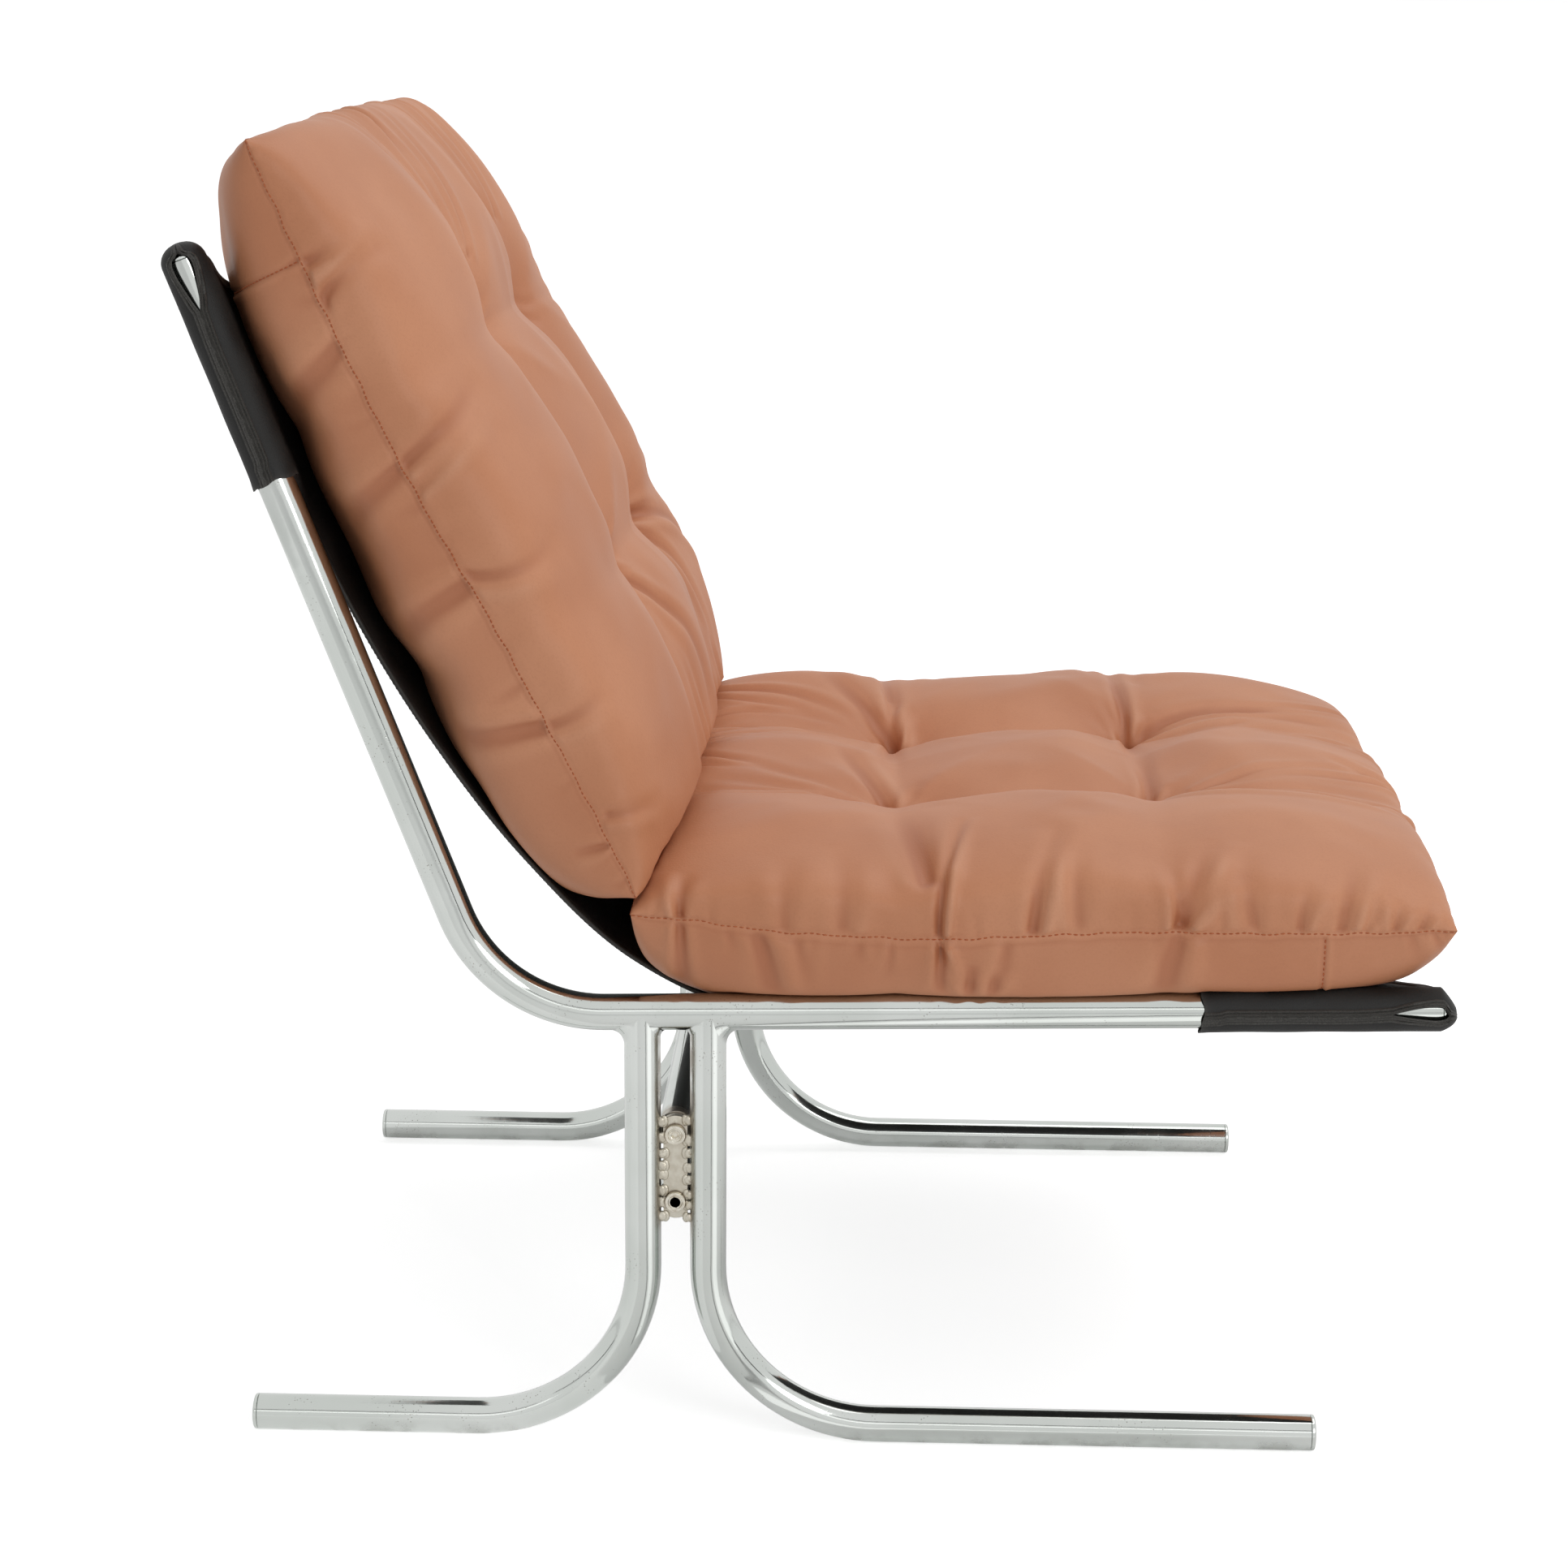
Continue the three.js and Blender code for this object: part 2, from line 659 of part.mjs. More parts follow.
function makeBackCushion() {
  const down = BentLine.ahead(backCushionLean - Math.PI / 2);
  const foot = new THREE.Vector3(-backCushionSetback, 0, backSeamHeight);
  const start = foot.addScaledVector(down, -backCushionLength);
  const place = { start, ahead: down, up: BentLine.ahead(backCushionLean), side: -1 };
  return cushionSolid(place, {
    length: backCushionLength,
    crown: backCrownHeight,
    belly: backBellyDepth,
    bow: 0,
    hollow: 0,
  });
}

// Materials
const looks = {
  chrome: { color: 0xd8dad8, roughness: 0.12, metalness: 1 },
  braze: { color: 0xc9c6bd, roughness: 0.3, metalness: 1 },
  plate: { color: 0xc3baa8, roughness: 0.42, metalness: 0.9 },
  screw: { color: 0xcfc6b4, roughness: 0.25, metalness: 1 },
  plug: { color: 0x8a8a88, roughness: 0.5, metalness: 0.9 },
  sling: { color: 0x2d2b28, roughness: 0.6, metalness: 0 },
  leather: { color: 0xc08565, roughness: 0.5, metalness: 0 },
};

function piece(name, solid, look) {
  const mesh = new THREE.Mesh(toGeometry(solid), new THREE.MeshStandardMaterial(looks[look]));
  mesh.name = name;
  return mesh;
}

// One side frame with its sleeves, made for the right-hand side, where the outer face looks along -Y
const upperScrewHeight = plateMiddleHeight + screwSpacing / 2;
const lowerScrewHeight = plateMiddleHeight - screwSpacing / 2;
const sidePieces = [
  ["seat_back_rail", makeRail(), "chrome"],
  ["upright_end_cap", makeCap(railLine, 0), "chrome"],
  ["rail_end_cap", makeCap(railLine, railLine.spans), "chrome"],
  ["rear_leg", makeLeg(rearLegLine), "chrome"],
  ["front_leg", makeLeg(frontLegLine), "chrome"],
  ["rear_foot_cap", makeCap(rearLegLine, rearLegLine.spans), "chrome"],
  ["front_foot_cap", makeCap(frontLegLine, frontLegLine.spans), "chrome"],
  ["rear_leg_braze", makeBraze(rearLegLine), "braze"],
  ["front_leg_braze", makeBraze(frontLegLine), "braze"],
  ["leg_plate", makePlate(), "plate"],
  ["rear_plate_weld", makeWeld(-1, rearBeadShares, rearLegLine), "plate"],
  ["front_plate_weld", makeWeld(1, frontBeadShares, frontLegLine), "plate"],
  ["upper_screw", makeScrew(upperScrewHeight), "screw"],
  ["lower_screw", makeScrew(lowerScrewHeight), "screw"],
  ["upper_stretcher_plug", makePlug(upperScrewHeight), "plug"],
  ["lower_stretcher_plug", makePlug(lowerScrewHeight), "plug"],
  ["back_sleeve", makeSleeve(railLine, 0), "sling"],
  ["seat_sleeve", makeSleeve(railLine, railLine.spans), "sling"],
];

function sideFrame(sideName, sideSign) {
  const frame = new THREE.Group();
  for (const [name, solid, look] of sidePieces) frame.add(piece(name + "_" + sideName, solid, look));
  frame.position.y = (sideSign * sideSpacing) / 2;
  frame.scale.y = -sideSign;
  return frame;
}

const chair = new THREE.Group();
chair.add(
  sideFrame("right", -1),
  sideFrame("left", 1),
  piece("upper_stretcher", makeStretcher(upperScrewHeight), "chrome"),
  piece("lower_stretcher", makeStretcher(lowerScrewHeight), "chrome"),
  piece("sling_panel", makeSlingPanel(), "sling"),
  piece("seat_cushion", makeSeatCushion(), "leather"),
  piece("back_cushion", makeBackCushion(), "leather")
);

// The origin lies on the floor under the middle of the chair's outline
const outline = new THREE.Box3().setFromObject(chair, true);
const middle = outline.getCenter(new THREE.Vector3());
chair.position.set(-middle.x, -middle.y, -outline.min.z);

export default chair;
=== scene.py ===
import math
import random

import bmesh
import bpy
import numpy as np
from mathutils import Matrix, Vector, noise
from mathutils.bvhtree import BVHTree


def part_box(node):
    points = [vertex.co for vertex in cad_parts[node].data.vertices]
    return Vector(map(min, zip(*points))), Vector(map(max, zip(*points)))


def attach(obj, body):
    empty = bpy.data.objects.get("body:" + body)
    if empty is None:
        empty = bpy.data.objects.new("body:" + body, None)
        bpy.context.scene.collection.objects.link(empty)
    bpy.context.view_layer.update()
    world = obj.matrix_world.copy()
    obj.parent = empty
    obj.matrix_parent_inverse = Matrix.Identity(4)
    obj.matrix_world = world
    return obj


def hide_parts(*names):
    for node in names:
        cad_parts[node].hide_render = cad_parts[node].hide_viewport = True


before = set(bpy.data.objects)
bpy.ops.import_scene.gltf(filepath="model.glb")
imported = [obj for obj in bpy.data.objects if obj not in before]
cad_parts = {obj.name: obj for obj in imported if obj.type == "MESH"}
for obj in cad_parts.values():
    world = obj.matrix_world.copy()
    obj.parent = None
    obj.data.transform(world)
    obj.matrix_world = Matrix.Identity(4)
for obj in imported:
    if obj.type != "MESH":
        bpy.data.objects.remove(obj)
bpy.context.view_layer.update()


# Seat rail and back upright of each side frame.
# One 25 mm steel tube, bent once between back and seat, then chrome plated.
# Both frames are alike; the left one is the mirror image of the right one.
plate_low, plate_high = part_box("leg_plate_right")
LEGS_X = (plate_low.x + plate_high.x) / 2
SIDE_Y = -(plate_low.y + plate_high.y) / 2
TUBE_RADIUS = 0.0125
TUBE_CORNERS = 56
BEND_STEPS = 28
RAIL_HEIGHT = 0.3135
RAIL_RISE = math.radians(1.2)
RAIL_REACH = 0.516
BACK_LEAN = math.radians(21)
BACK_SETBACK = 0.122
UPRIGHT_LENGTH = 0.541
SEAT_BEND = 0.105
# Brown of the gap between the legs: partly dirt, partly painted shade.
GAP_DIRT_AND_SHADE = (0.30, 0.235, 0.17)
# Grey of the runners' lowest part, by the floor.
FLOOR_GREY = (0.34, 0.345, 0.32)


def ahead(angle):
    """A direction in the side frame's plane: forwards, turned up by an angle."""
    return Vector((math.cos(angle), 0, math.sin(angle)))


def facing(place, along):
    """Where a shape made round the Z axis stands when it points along a direction."""
    return Matrix.Translation(place) @ along.to_track_quat("Z", "Y").to_matrix().to_4x4()


def edges_in(geometry):
    return [e for e in geometry if isinstance(e, bmesh.types.BMEdge)]


def draw_out(bm, rim, way):
    """Pulls an open rim out into a straight wall and gives back the new rim."""
    made = bmesh.ops.extrude_edge_only(bm, edges=rim)["geom"]
    corners = {v for v in made if isinstance(v, bmesh.types.BMVert)}
    bmesh.ops.translate(bm, verts=list(corners), vec=way)
    return [e for e in edges_in(made) if corners.issuperset(e.verts)]


def bent_tube(bm, start, heading, first, turn, bend, last):
    """A tube in an upright plane: a straight run, one bend, and a straight run, closed at both ends."""
    bmesh.ops.create_circle(
        bm, cap_ends=True, segments=TUBE_CORNERS, radius=TUBE_RADIUS, matrix=facing(start, ahead(heading))
    )
    rim = draw_out(bm, bm.edges[:], ahead(heading) * first)
    hub = start + ahead(heading) * first + ahead(heading + math.copysign(math.pi / 2, turn)) * bend
    corners = list({v for e in rim for v in e.verts})
    swung = bmesh.ops.spin(
        bm, geom=corners + rim, cent=hub, axis=(0, -1, 0), angle=turn, steps=BEND_STEPS, use_duplicate=False
    )["geom_last"]
    rim = draw_out(bm, edges_in(swung), ahead(heading + turn) * last)
    bmesh.ops.contextual_create(bm, geom=rim)


def in_scene(name, mesh):
    made = bpy.data.objects.new(name, mesh)
    bpy.context.scene.collection.objects.link(made)
    return made


def chair_piece(name, mesh, material, nodes):
    """Shows a mesh as a named piece that rides on the chair and stands for its CAD nodes."""
    mesh.materials.append(material)
    piece = in_scene(name, mesh)
    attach(piece, "root")
    if nodes:
        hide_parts(*nodes)
    return piece


def keep(bm, name, material, slot, *nodes, sharp=40):
    """Closes a finished shape, smooths all but its sharp edges, and shows it as a piece."""
    bmesh.ops.remove_doubles(bm, verts=bm.verts, dist=1e-6)
    bmesh.ops.recalc_face_normals(bm, faces=bm.faces)
    for face in bm.faces:
        face.smooth = True
    for edge in bm.edges:
        if len(edge.link_faces) == 2 and edge.calc_face_angle() > math.radians(sharp):
            edge.smooth = False
    mesh = bpy.data.meshes.new(name)
    bm.to_mesh(mesh)
    bm.free()
    return chair_piece(name, mesh, material, nodes)


def on_both_sides(make, name, material, slot, node, sharp=40):
    """Makes a piece of the right-hand side frame, with the outer face along -Y, and its mirror image."""
    for side, hand in (("right", 1), ("left", -1)):
        bm = bmesh.new()
        make(bm)
        bmesh.ops.translate(bm, verts=bm.verts, vec=(LEGS_X, -SIDE_Y, 0))
        bmesh.ops.scale(bm, verts=bm.verts, vec=(1, hand, 1))
        keep(bm, f"{name}_{side}", material, slot, f"{node}_{side}", sharp=sharp)


def fill(tree, socket, source):
    """Gives a shader input a plain value, or joins another node to it."""
    if isinstance(source, bpy.types.NodeSocket):
        tree.links.new(source, socket)
    else:
        socket.default_value = source


def add(tree, kind, inputs, output=0, **settings):
    """Adds a shader node, fills its inputs and gives back one of its outputs."""
    made = tree.nodes.new(kind)
    for name, value in settings.items():
        setattr(made, name, value)
    for name, source in inputs.items():
        fill(tree, made.inputs[name], source)
    return made.outputs[output]


def place_on(tree):
    return add(tree, "ShaderNodeTexCoord", {}, "Object")


def mottle(tree, scale, detail=2.0):
    """Soft noise over a piece."""
    inputs = {"Vector": place_on(tree), "Scale": scale, "Detail": detail}
    return add(tree, "ShaderNodeTexNoise", inputs, "Fac")


def specks(tree, scale):
    """The distance to the nearest of many spots strewn over a piece."""
    return add(tree, "ShaderNodeTexVoronoi", {"Vector": place_on(tree), "Scale": scale}, "Distance")


def reckon(tree, operation, first, second=0.0):
    return add(tree, "ShaderNodeMath", {0: first, 1: second}, operation=operation)


def times(tree, first, *others):
    for other in others:
        first = reckon(tree, "MULTIPLY", first, other)
    return first


def ramp(tree, source, low, high, start=0.0, end=1.0):
    """Maps a value from low..high onto start..end, smoothly."""
    inputs = {"Value": source, "From Min": low, "From Max": high, "To Min": start, "To Max": end}
    return add(tree, "ShaderNodeMapRange", inputs, "Result", interpolation_type="SMOOTHSTEP")


def blend(tree, share, first, second):
    """Mixes two colours by a share. The first may be a mix already."""
    first = first if isinstance(first, bpy.types.NodeSocket) else (*first, 1)
    return add(tree, "ShaderNodeMix", {0: share, 6: first, 7: (*second, 1)}, 2, data_type="RGBA")


def new_material(name):
    material = bpy.data.materials.new(name)
    material.use_nodes = True
    return material, material.node_tree


def dress(material, colour, roughness, relief=None, **others):
    """Joins colour, roughness and relief, given as height, strength and depth, to a material's shader."""
    tree = material.node_tree
    looks = {"Base Color": colour, "Roughness": roughness}
    if relief:
        inputs = dict(zip(("Height", "Strength", "Distance"), relief))
        looks["Normal"] = add(tree, "ShaderNodeBump", inputs)
    looks |= {name.replace("_", " "): value for name, value in others.items()}
    for name, source in looks.items():
        fill(tree, tree.nodes["Principled BSDF"].inputs[name], source)
    return material


def chrome_plate():
    """Bright chrome with fine pits, greyer and duller near the floor, and brown in the gap between the legs:
    dirt and painted shade.
    """
    material, tree = new_material("chrome_plate")
    bloom = mottle(tree, 38, 6)
    pits = times(tree, ramp(tree, specks(tree, 420), 0.22, 0.12), ramp(tree, bloom, 0.52, 0.64))
    x, y, z = (add(tree, "ShaderNodeSeparateXYZ", {"Vector": place_on(tree)}, axis) for axis in "XYZ")
    # Greyer and duller on the lower part of the runners, most where they touch the floor.
    near_floor = times(tree, ramp(tree, z, 0.017, 0.003), ramp(tree, bloom, 0.42, 0.62))
    beside = reckon(tree, "ABSOLUTE", reckon(tree, "SUBTRACT", x, LEGS_X))
    up_legs = times(tree, ramp(tree, z, 0.135, 0.17), ramp(tree, z, 0.302, 0.296))
    outside = ramp(tree, reckon(tree, "ABSOLUTE", y), 0.262, 0.274)
    # Brown on the facing sides of the legs between plate and rail: partly dirt by the welds, partly painted
    # shade and a painted reflection of the leather in the gap.
    patchy = ramp(tree, bloom, 0.3, 0.6)
    in_leg_gap = times(tree, ramp(tree, beside, 0.0165, 0.0095), up_legs, outside, patchy)
    patches = ramp(tree, mottle(tree, 11, 3), 0.35, 0.65)
    colour = blend(tree, patches, (0.545, 0.572, 0.545), (0.60, 0.622, 0.60))
    colour = blend(tree, times(tree, in_leg_gap, 0.75), colour, GAP_DIRT_AND_SHADE)
    colour = blend(tree, times(tree, near_floor, 0.45), colour, FLOOR_GREY)
    colour = blend(tree, times(tree, pits, 0.7), colour, (0.16, 0.14, 0.12))
    dull = times(tree, reckon(tree, "MAXIMUM", near_floor, in_leg_gap), 0.3)
    rough = reckon(tree, "ADD", ramp(tree, bloom, 0.3, 0.8, 0.08, 0.16), dull)
    height = reckon(tree, "ADD", mottle(tree, 70), times(tree, pits, -0.5))
    return dress(material, colour, rough, (height, 0.12, 0.0006), Metallic=1)


chrome = chrome_plate()
upright_heading = BACK_LEAN - math.pi / 2
seat_turn = RAIL_RISE - upright_heading
seat_corner = Vector((-BACK_SETBACK, 0, RAIL_HEIGHT - BACK_SETBACK * math.tan(RAIL_RISE)))
seat_tangent = SEAT_BEND * math.tan(seat_turn / 2)
rail_length = (RAIL_REACH + BACK_SETBACK) / math.cos(RAIL_RISE)
upright_end = seat_corner - ahead(upright_heading) * UPRIGHT_LENGTH
rail_end = seat_corner + ahead(RAIL_RISE) * rail_length


def rail_tube(bm):
    upright_run, seat_run = UPRIGHT_LENGTH - seat_tangent, rail_length - seat_tangent
    bent_tube(bm, upright_end, upright_heading, upright_run, seat_turn, SEAT_BEND, seat_run)


on_both_sides(rail_tube, "rail_tube", chrome, "frame_chrome", "seat_back_rail")


# Legs. Each is the same tube, brazed up under the rail, bent outwards and run along the floor.
# The rear runner is shorter than the front one. The two legs of a side stand 45 mm apart.
LEG_SPACING = 0.045
LEG_BEND = 0.117
REAR_FOOT = 0.294
FRONT_FOOT = 0.443


def leg_tube(direction, reach):
    """A leg from inside the rail down to the end of its runner."""
    top = Vector((direction * LEG_SPACING / 2, 0, RAIL_HEIGHT - TUBE_RADIUS / 8))
    drop = top.z - TUBE_RADIUS - LEG_BEND
    run = reach - LEG_SPACING / 2 - LEG_BEND
    return lambda bm: bent_tube(bm, top, -math.pi / 2, drop, direction * math.pi / 2, LEG_BEND, run)


on_both_sides(leg_tube(-1, REAR_FOOT), "rear_leg_tube", chrome, "frame_chrome", "rear_leg")
on_both_sides(leg_tube(1, FRONT_FOOT), "front_leg_tube", chrome, "frame_chrome", "front_leg")


# Domed plugs, pressed into the four open ends of each side frame and plated with it.
# Each has a rounded edge as wide as the tube and a low dome.
PLUG_CORNERS = 48
PLUG_PROFILE = [
    (0.0, 0.0003), (0.0121, 0.0003), (0.0125, 0.0007), (0.0125, 0.0018), (0.0123, 0.0025),
    (0.0117, 0.0031), (0.0106, 0.0034), (0.0080, 0.0036), (0.0040, 0.00375), (0.0, 0.0038),
]


def end_plug(place, along):
    """Spins the plug's profile, of radius and distance along the axis, into a round piece."""
    def make(bm):
        stand = facing(place, along)
        points = [bm.verts.new(stand @ Vector((radius, 0, reach))) for radius, reach in PLUG_PROFILE]
        edges = [bm.edges.new(pair) for pair in zip(points, points[1:])]
        bmesh.ops.spin(
            bm, geom=points + edges, cent=place, axis=along, angle=2 * math.pi, steps=PLUG_CORNERS,
            use_merge=True, use_duplicate=False,
        )
    return make


for name, node, place, along in (
    ("upright_plug", "upright_end_cap", upright_end, -ahead(upright_heading)),
    ("rail_plug", "rail_end_cap", rail_end, ahead(RAIL_RISE)),
    ("rear_foot_plug", "rear_foot_cap", Vector((-REAR_FOOT, 0, TUBE_RADIUS)), Vector((-1, 0, 0))),
    ("front_foot_plug", "front_foot_cap", Vector((FRONT_FOOT, 0, TUBE_RADIUS)), Vector((1, 0, 0))),
):
    on_both_sides(end_plug(place, along), name, chrome, "frame_chrome", node)


# Brazed saddles, where each leg meets the rail. The braze metal is dressed to a smooth hollow curve
# and plated over. It is widest along the rail and thins out round the rail's flanks.
SADDLE_REACH = 0.0110
SADDLE_DROP = 0.0125
SADDLE_LAP = 0.0002
SADDLE_DEPTH = 0.0008
SADDLE_CORNERS = 72
SADDLE_STEPS = 10
FLANK_STEPS = 8
FLANK_SHARE = 0.3


def loft(bm, rings):
    """Joins closed rings of corners, each to the next, by faces. A ring of one corner is a tip."""
    for first, second in zip(rings, rings[1:]):
        for corner in range(max(len(first), len(second))):
            after = corner + 1
            loop = [first[corner % len(first)], first[after % len(first)]]
            loop += [second[after % len(second)], second[corner % len(second)]]
            bm.faces.new(list(dict.fromkeys(loop)))


def saddle_section(turn, lean, direction):
    """One upright section of the fillet: its hollow face, and its back inside the tubes."""
    share = (FLANK_SHARE + (1 - FLANK_SHARE) * abs(math.cos(turn))) * (0.75 + 0.25 * lean * direction)
    x, y = TUBE_RADIUS * math.cos(turn), TUBE_RADIUS * math.sin(turn)
    z = -math.sqrt(max(0, TUBE_RADIUS**2 - y**2))
    low = (x - lean * SADDLE_LAP, z - SADDLE_DROP * share)
    high = (x + lean * SADDLE_REACH * share, z + SADDLE_LAP)
    face = []
    for step in range(SADDLE_STEPS + 1):
        t = step / SADDLE_STEPS
        ends = zip(low, (x, z), high)
        face.append([(1 - t) ** 2 * a + 2 * t * (1 - t) * b + t * t * c for a, b, c in ends])
    deep = x - lean * SADDLE_DEPTH
    inner = [(high[0], z + SADDLE_DEPTH), (deep, z + SADDLE_DEPTH), (deep, low[1])]
    sunk = 0.999 - 0.06 * (1 - abs(math.cos(turn))) ** 3
    return [(a, y * sunk, c) for a, c in face] + [(a, y * 0.92, c) for a, c in inner]


def saddle(direction):
    """A hollow fillet all round a leg's top. Each section of it stands along the rail."""
    columns = []
    for number in range(SADDLE_CORNERS):
        turn = 2 * math.pi * (number + 0.5) / SADDLE_CORNERS
        columns.append((turn, math.copysign(1, math.cos(turn))))
        if number in (SADDLE_CORNERS // 4 - 1, 3 * SADDLE_CORNERS // 4 - 1):
            flank = 2 * math.pi * (number + 1) / SADDLE_CORNERS
            turned = [1 - 2 * step / FLANK_STEPS for step in range(FLANK_STEPS + 1)]
            columns += [(flank, columns[-1][1] * share) for share in turned]

    def make(bm):
        rings = []
        for turn, lean in columns:
            ring = []
            for x, y, z in saddle_section(turn, lean, direction):
                x += direction * LEG_SPACING / 2
                ring.append(bm.verts.new((x, y, RAIL_HEIGHT + z + x * math.tan(RAIL_RISE))))
            rings.append(ring)
        loft(bm, rings + rings[:1])
    return make


on_both_sides(saddle(-1), "rear_saddle", chrome, "braze_metal", "rear_leg_braze", sharp=80)
on_both_sides(saddle(1), "front_saddle", chrome, "braze_metal", "front_leg_braze", sharp=80)


# Plate between the legs: 5 mm steel with rounded ends, welded along both long edges.
# It carries the two screws of the stretchers.
PLATE_MIDDLE = 0.202
PLATE_WIDTH = 0.0165
PLATE_END = 0.012
PLATE_HEIGHT = 0.075
PLATE_THICKNESS = 0.005
PLATE_BEVEL = 0.0009
PLATE_CORNERS = 64
SQUARE_RIM = 1.2
SCREW_SPACING = 0.049
UPPER_SCREW, LOWER_SCREW = (PLATE_MIDDLE + side * SCREW_SPACING / 2 for side in (1, -1))


def plated_steel():
    """Warm, slightly grubby nickel over cut and welded steel."""
    material, tree = new_material("plated_steel")
    grime = mottle(tree, 130, 8)
    colour = blend(tree, ramp(tree, grime, 0.38, 0.66), (0.50, 0.46, 0.38), (0.60, 0.57, 0.49))
    colour = blend(tree, ramp(tree, grime, 0.63, 0.75, 0, 0.8), colour, (0.24, 0.18, 0.12))
    flat = add(tree, "ShaderNodeVectorMath", {0: place_on(tree), 1: (1, 0, 1)}, operation="MULTIPLY")
    # A dark ring round each screw head, painted on the plate, is painted shadow of the head.
    for lift in (LOWER_SCREW, UPPER_SCREW):
        screw = Vector((LEGS_X, 0, lift))
        away = add(tree, "ShaderNodeVectorMath", {0: flat, 1: screw}, "Value", operation="DISTANCE")
        colour = blend(tree, ramp(tree, away, 0.0084, 0.0070, 0, 0.85), colour, (0.13, 0.09, 0.06))
    rough = ramp(tree, grime, 0.3, 0.7, 0.3, 0.5)
    return dress(material, colour, rough, (mottle(tree, 900, 3), 0.25, 0.0003), Metallic=0.85)


def leg_plate(bm):
    for end in (-1, 1):
        middle = Vector((0, 0, PLATE_MIDDLE + end * (PLATE_HEIGHT / 2 - PLATE_END)))
        bmesh.ops.create_cone(
            bm, cap_ends=True, segments=PLATE_CORNERS, radius1=PLATE_END, radius2=PLATE_END,
            depth=PLATE_THICKNESS, matrix=facing(middle, Vector((0, 1, 0))),
        )
    hull = bmesh.ops.convex_hull(bm, input=bm.verts)
    inside = {part for part in hull["geom_interior"] + hull["geom_unused"] if part.is_valid}
    bmesh.ops.delete(bm, geom=[v for v in inside if isinstance(v, bmesh.types.BMVert)], context="VERTS")
    for side in (-1, 1):
        cut = bmesh.ops.bisect_plane(
            bm, geom=bm.verts[:] + bm.edges[:] + bm.faces[:], plane_co=(side * PLATE_WIDTH / 2, 0, 0),
            plane_no=(side, 0, 0), clear_outer=True,
        )["geom_cut"]
        bmesh.ops.contextual_create(bm, geom=edges_in(cut))
    bmesh.ops.dissolve_limit(bm, angle_limit=0.01, verts=bm.verts, edges=bm.edges)
    bmesh.ops.recalc_face_normals(bm, faces=bm.faces)
    rims = [e for e in bm.edges if len(e.link_faces) == 2 and e.calc_face_angle() > SQUARE_RIM]
    bmesh.ops.bevel(
        bm, geom=rims, affect="EDGES", offset=PLATE_BEVEL, segments=3, profile=0.5, material=-1,
        clamp_overlap=True,
    )


plate_steel = plated_steel()
on_both_sides(leg_plate, "screw_plate", plate_steel, "plate_steel", "leg_plate")


# Welds: a row of separate blobs along each long edge of the plate, with dark gaps between them.
# They were laid by hand, so no two are alike. Each has a toe that runs out onto the plate.
REAR_BLOB_SHARES = [0.03, 0.15, 0.27, 0.43, 0.52, 0.64, 0.79, 0.94]
FRONT_BLOB_SHARES = [0.02, 0.13, 0.24, 0.37, 0.5, 0.635, 0.77, 0.95]
BLOB_SIZE = (0.0034, 0.0021, 0.0036)
BLOB_SEAM = 0.0093
TOE_SHIFT = 0.0022


def ball(bm, subdivisions, size):
    made = bmesh.ops.create_icosphere(bm, subdivisions=subdivisions, radius=1)["verts"]
    bmesh.ops.scale(bm, verts=made, vec=size)
    return made


def weld_row(direction, shares):
    def make(bm):
        hands = random.Random(7 + direction)
        for share in shares:
            width, depth, height = (hands.uniform(0.9, 1.15) * size for size in BLOB_SIZE)
            seam = direction * (BLOB_SEAM + hands.uniform(-0.0005, 0.0006))
            lift = PLATE_MIDDLE + (share - 0.5) * PLATE_HEIGHT + hands.uniform(-0.0006, 0.0006)
            blob = ball(bm, 4, (width, depth, height))
            for v in blob:
                v.co *= 1 + 0.16 * noise.noise(v.co * 420 + Vector((share * 9, direction, 0)))
            bmesh.ops.translate(bm, verts=blob, vec=(seam, -PLATE_THICKNESS / 2 - 0.0002, lift))
            toe = ball(bm, 3, (width * 0.8, depth * 0.7, height * 1.15))
            toe_place = (seam - direction * TOE_SHIFT, -PLATE_THICKNESS / 2, lift)
            bmesh.ops.translate(bm, verts=toe, vec=toe_place)
    return make


rear_row, front_row = weld_row(-1, REAR_BLOB_SHARES), weld_row(1, FRONT_BLOB_SHARES)
on_both_sides(rear_row, "rear_weld_row", plate_steel, "plate_steel", "rear_plate_weld", sharp=70)
on_both_sides(front_row, "front_weld_row", plate_steel, "plate_steel", "front_plate_weld", sharp=70)


# Socket screws, 8 mm, with low flat heads. They pass through the plate into the stretchers' plugs.
# Heads are turned with a small chamfer and a ring, and the six-sided socket is pressed in.
HEAD_RADIUS = 0.007
HEAD_HEIGHT = 0.004
HEAD_CORNERS = 72
HEAD_PROFILE = [
    (HEAD_RADIUS, 0), (HEAD_RADIUS, HEAD_HEIGHT - 0.0008), (HEAD_RADIUS - 0.0002, HEAD_HEIGHT - 0.0003),
    (HEAD_RADIUS - 0.0009, HEAD_HEIGHT), (0.0050, HEAD_HEIGHT), (0.0045, HEAD_HEIGHT - 0.0006),
    (0.0037, HEAD_HEIGHT - 0.0006), (0.0033, HEAD_HEIGHT - 0.0010),
]
SOCKET_ACROSS = 0.005
SOCKET_TOP = HEAD_HEIGHT - 0.0012
SOCKET_FLOOR = HEAD_HEIGHT - 0.0034


def nickel():
    """Bright nickel, hazed and a little brown."""
    material, tree = new_material("nickel")
    haze = mottle(tree, 240, 5)
    colour = blend(tree, ramp(tree, haze, 0.4, 0.7), (0.66, 0.63, 0.55), (0.50, 0.45, 0.36))
    return dress(material, colour, ramp(tree, haze, 0.3, 0.7, 0.15, 0.3), (haze, 0.15, 0.0003), Metallic=1)


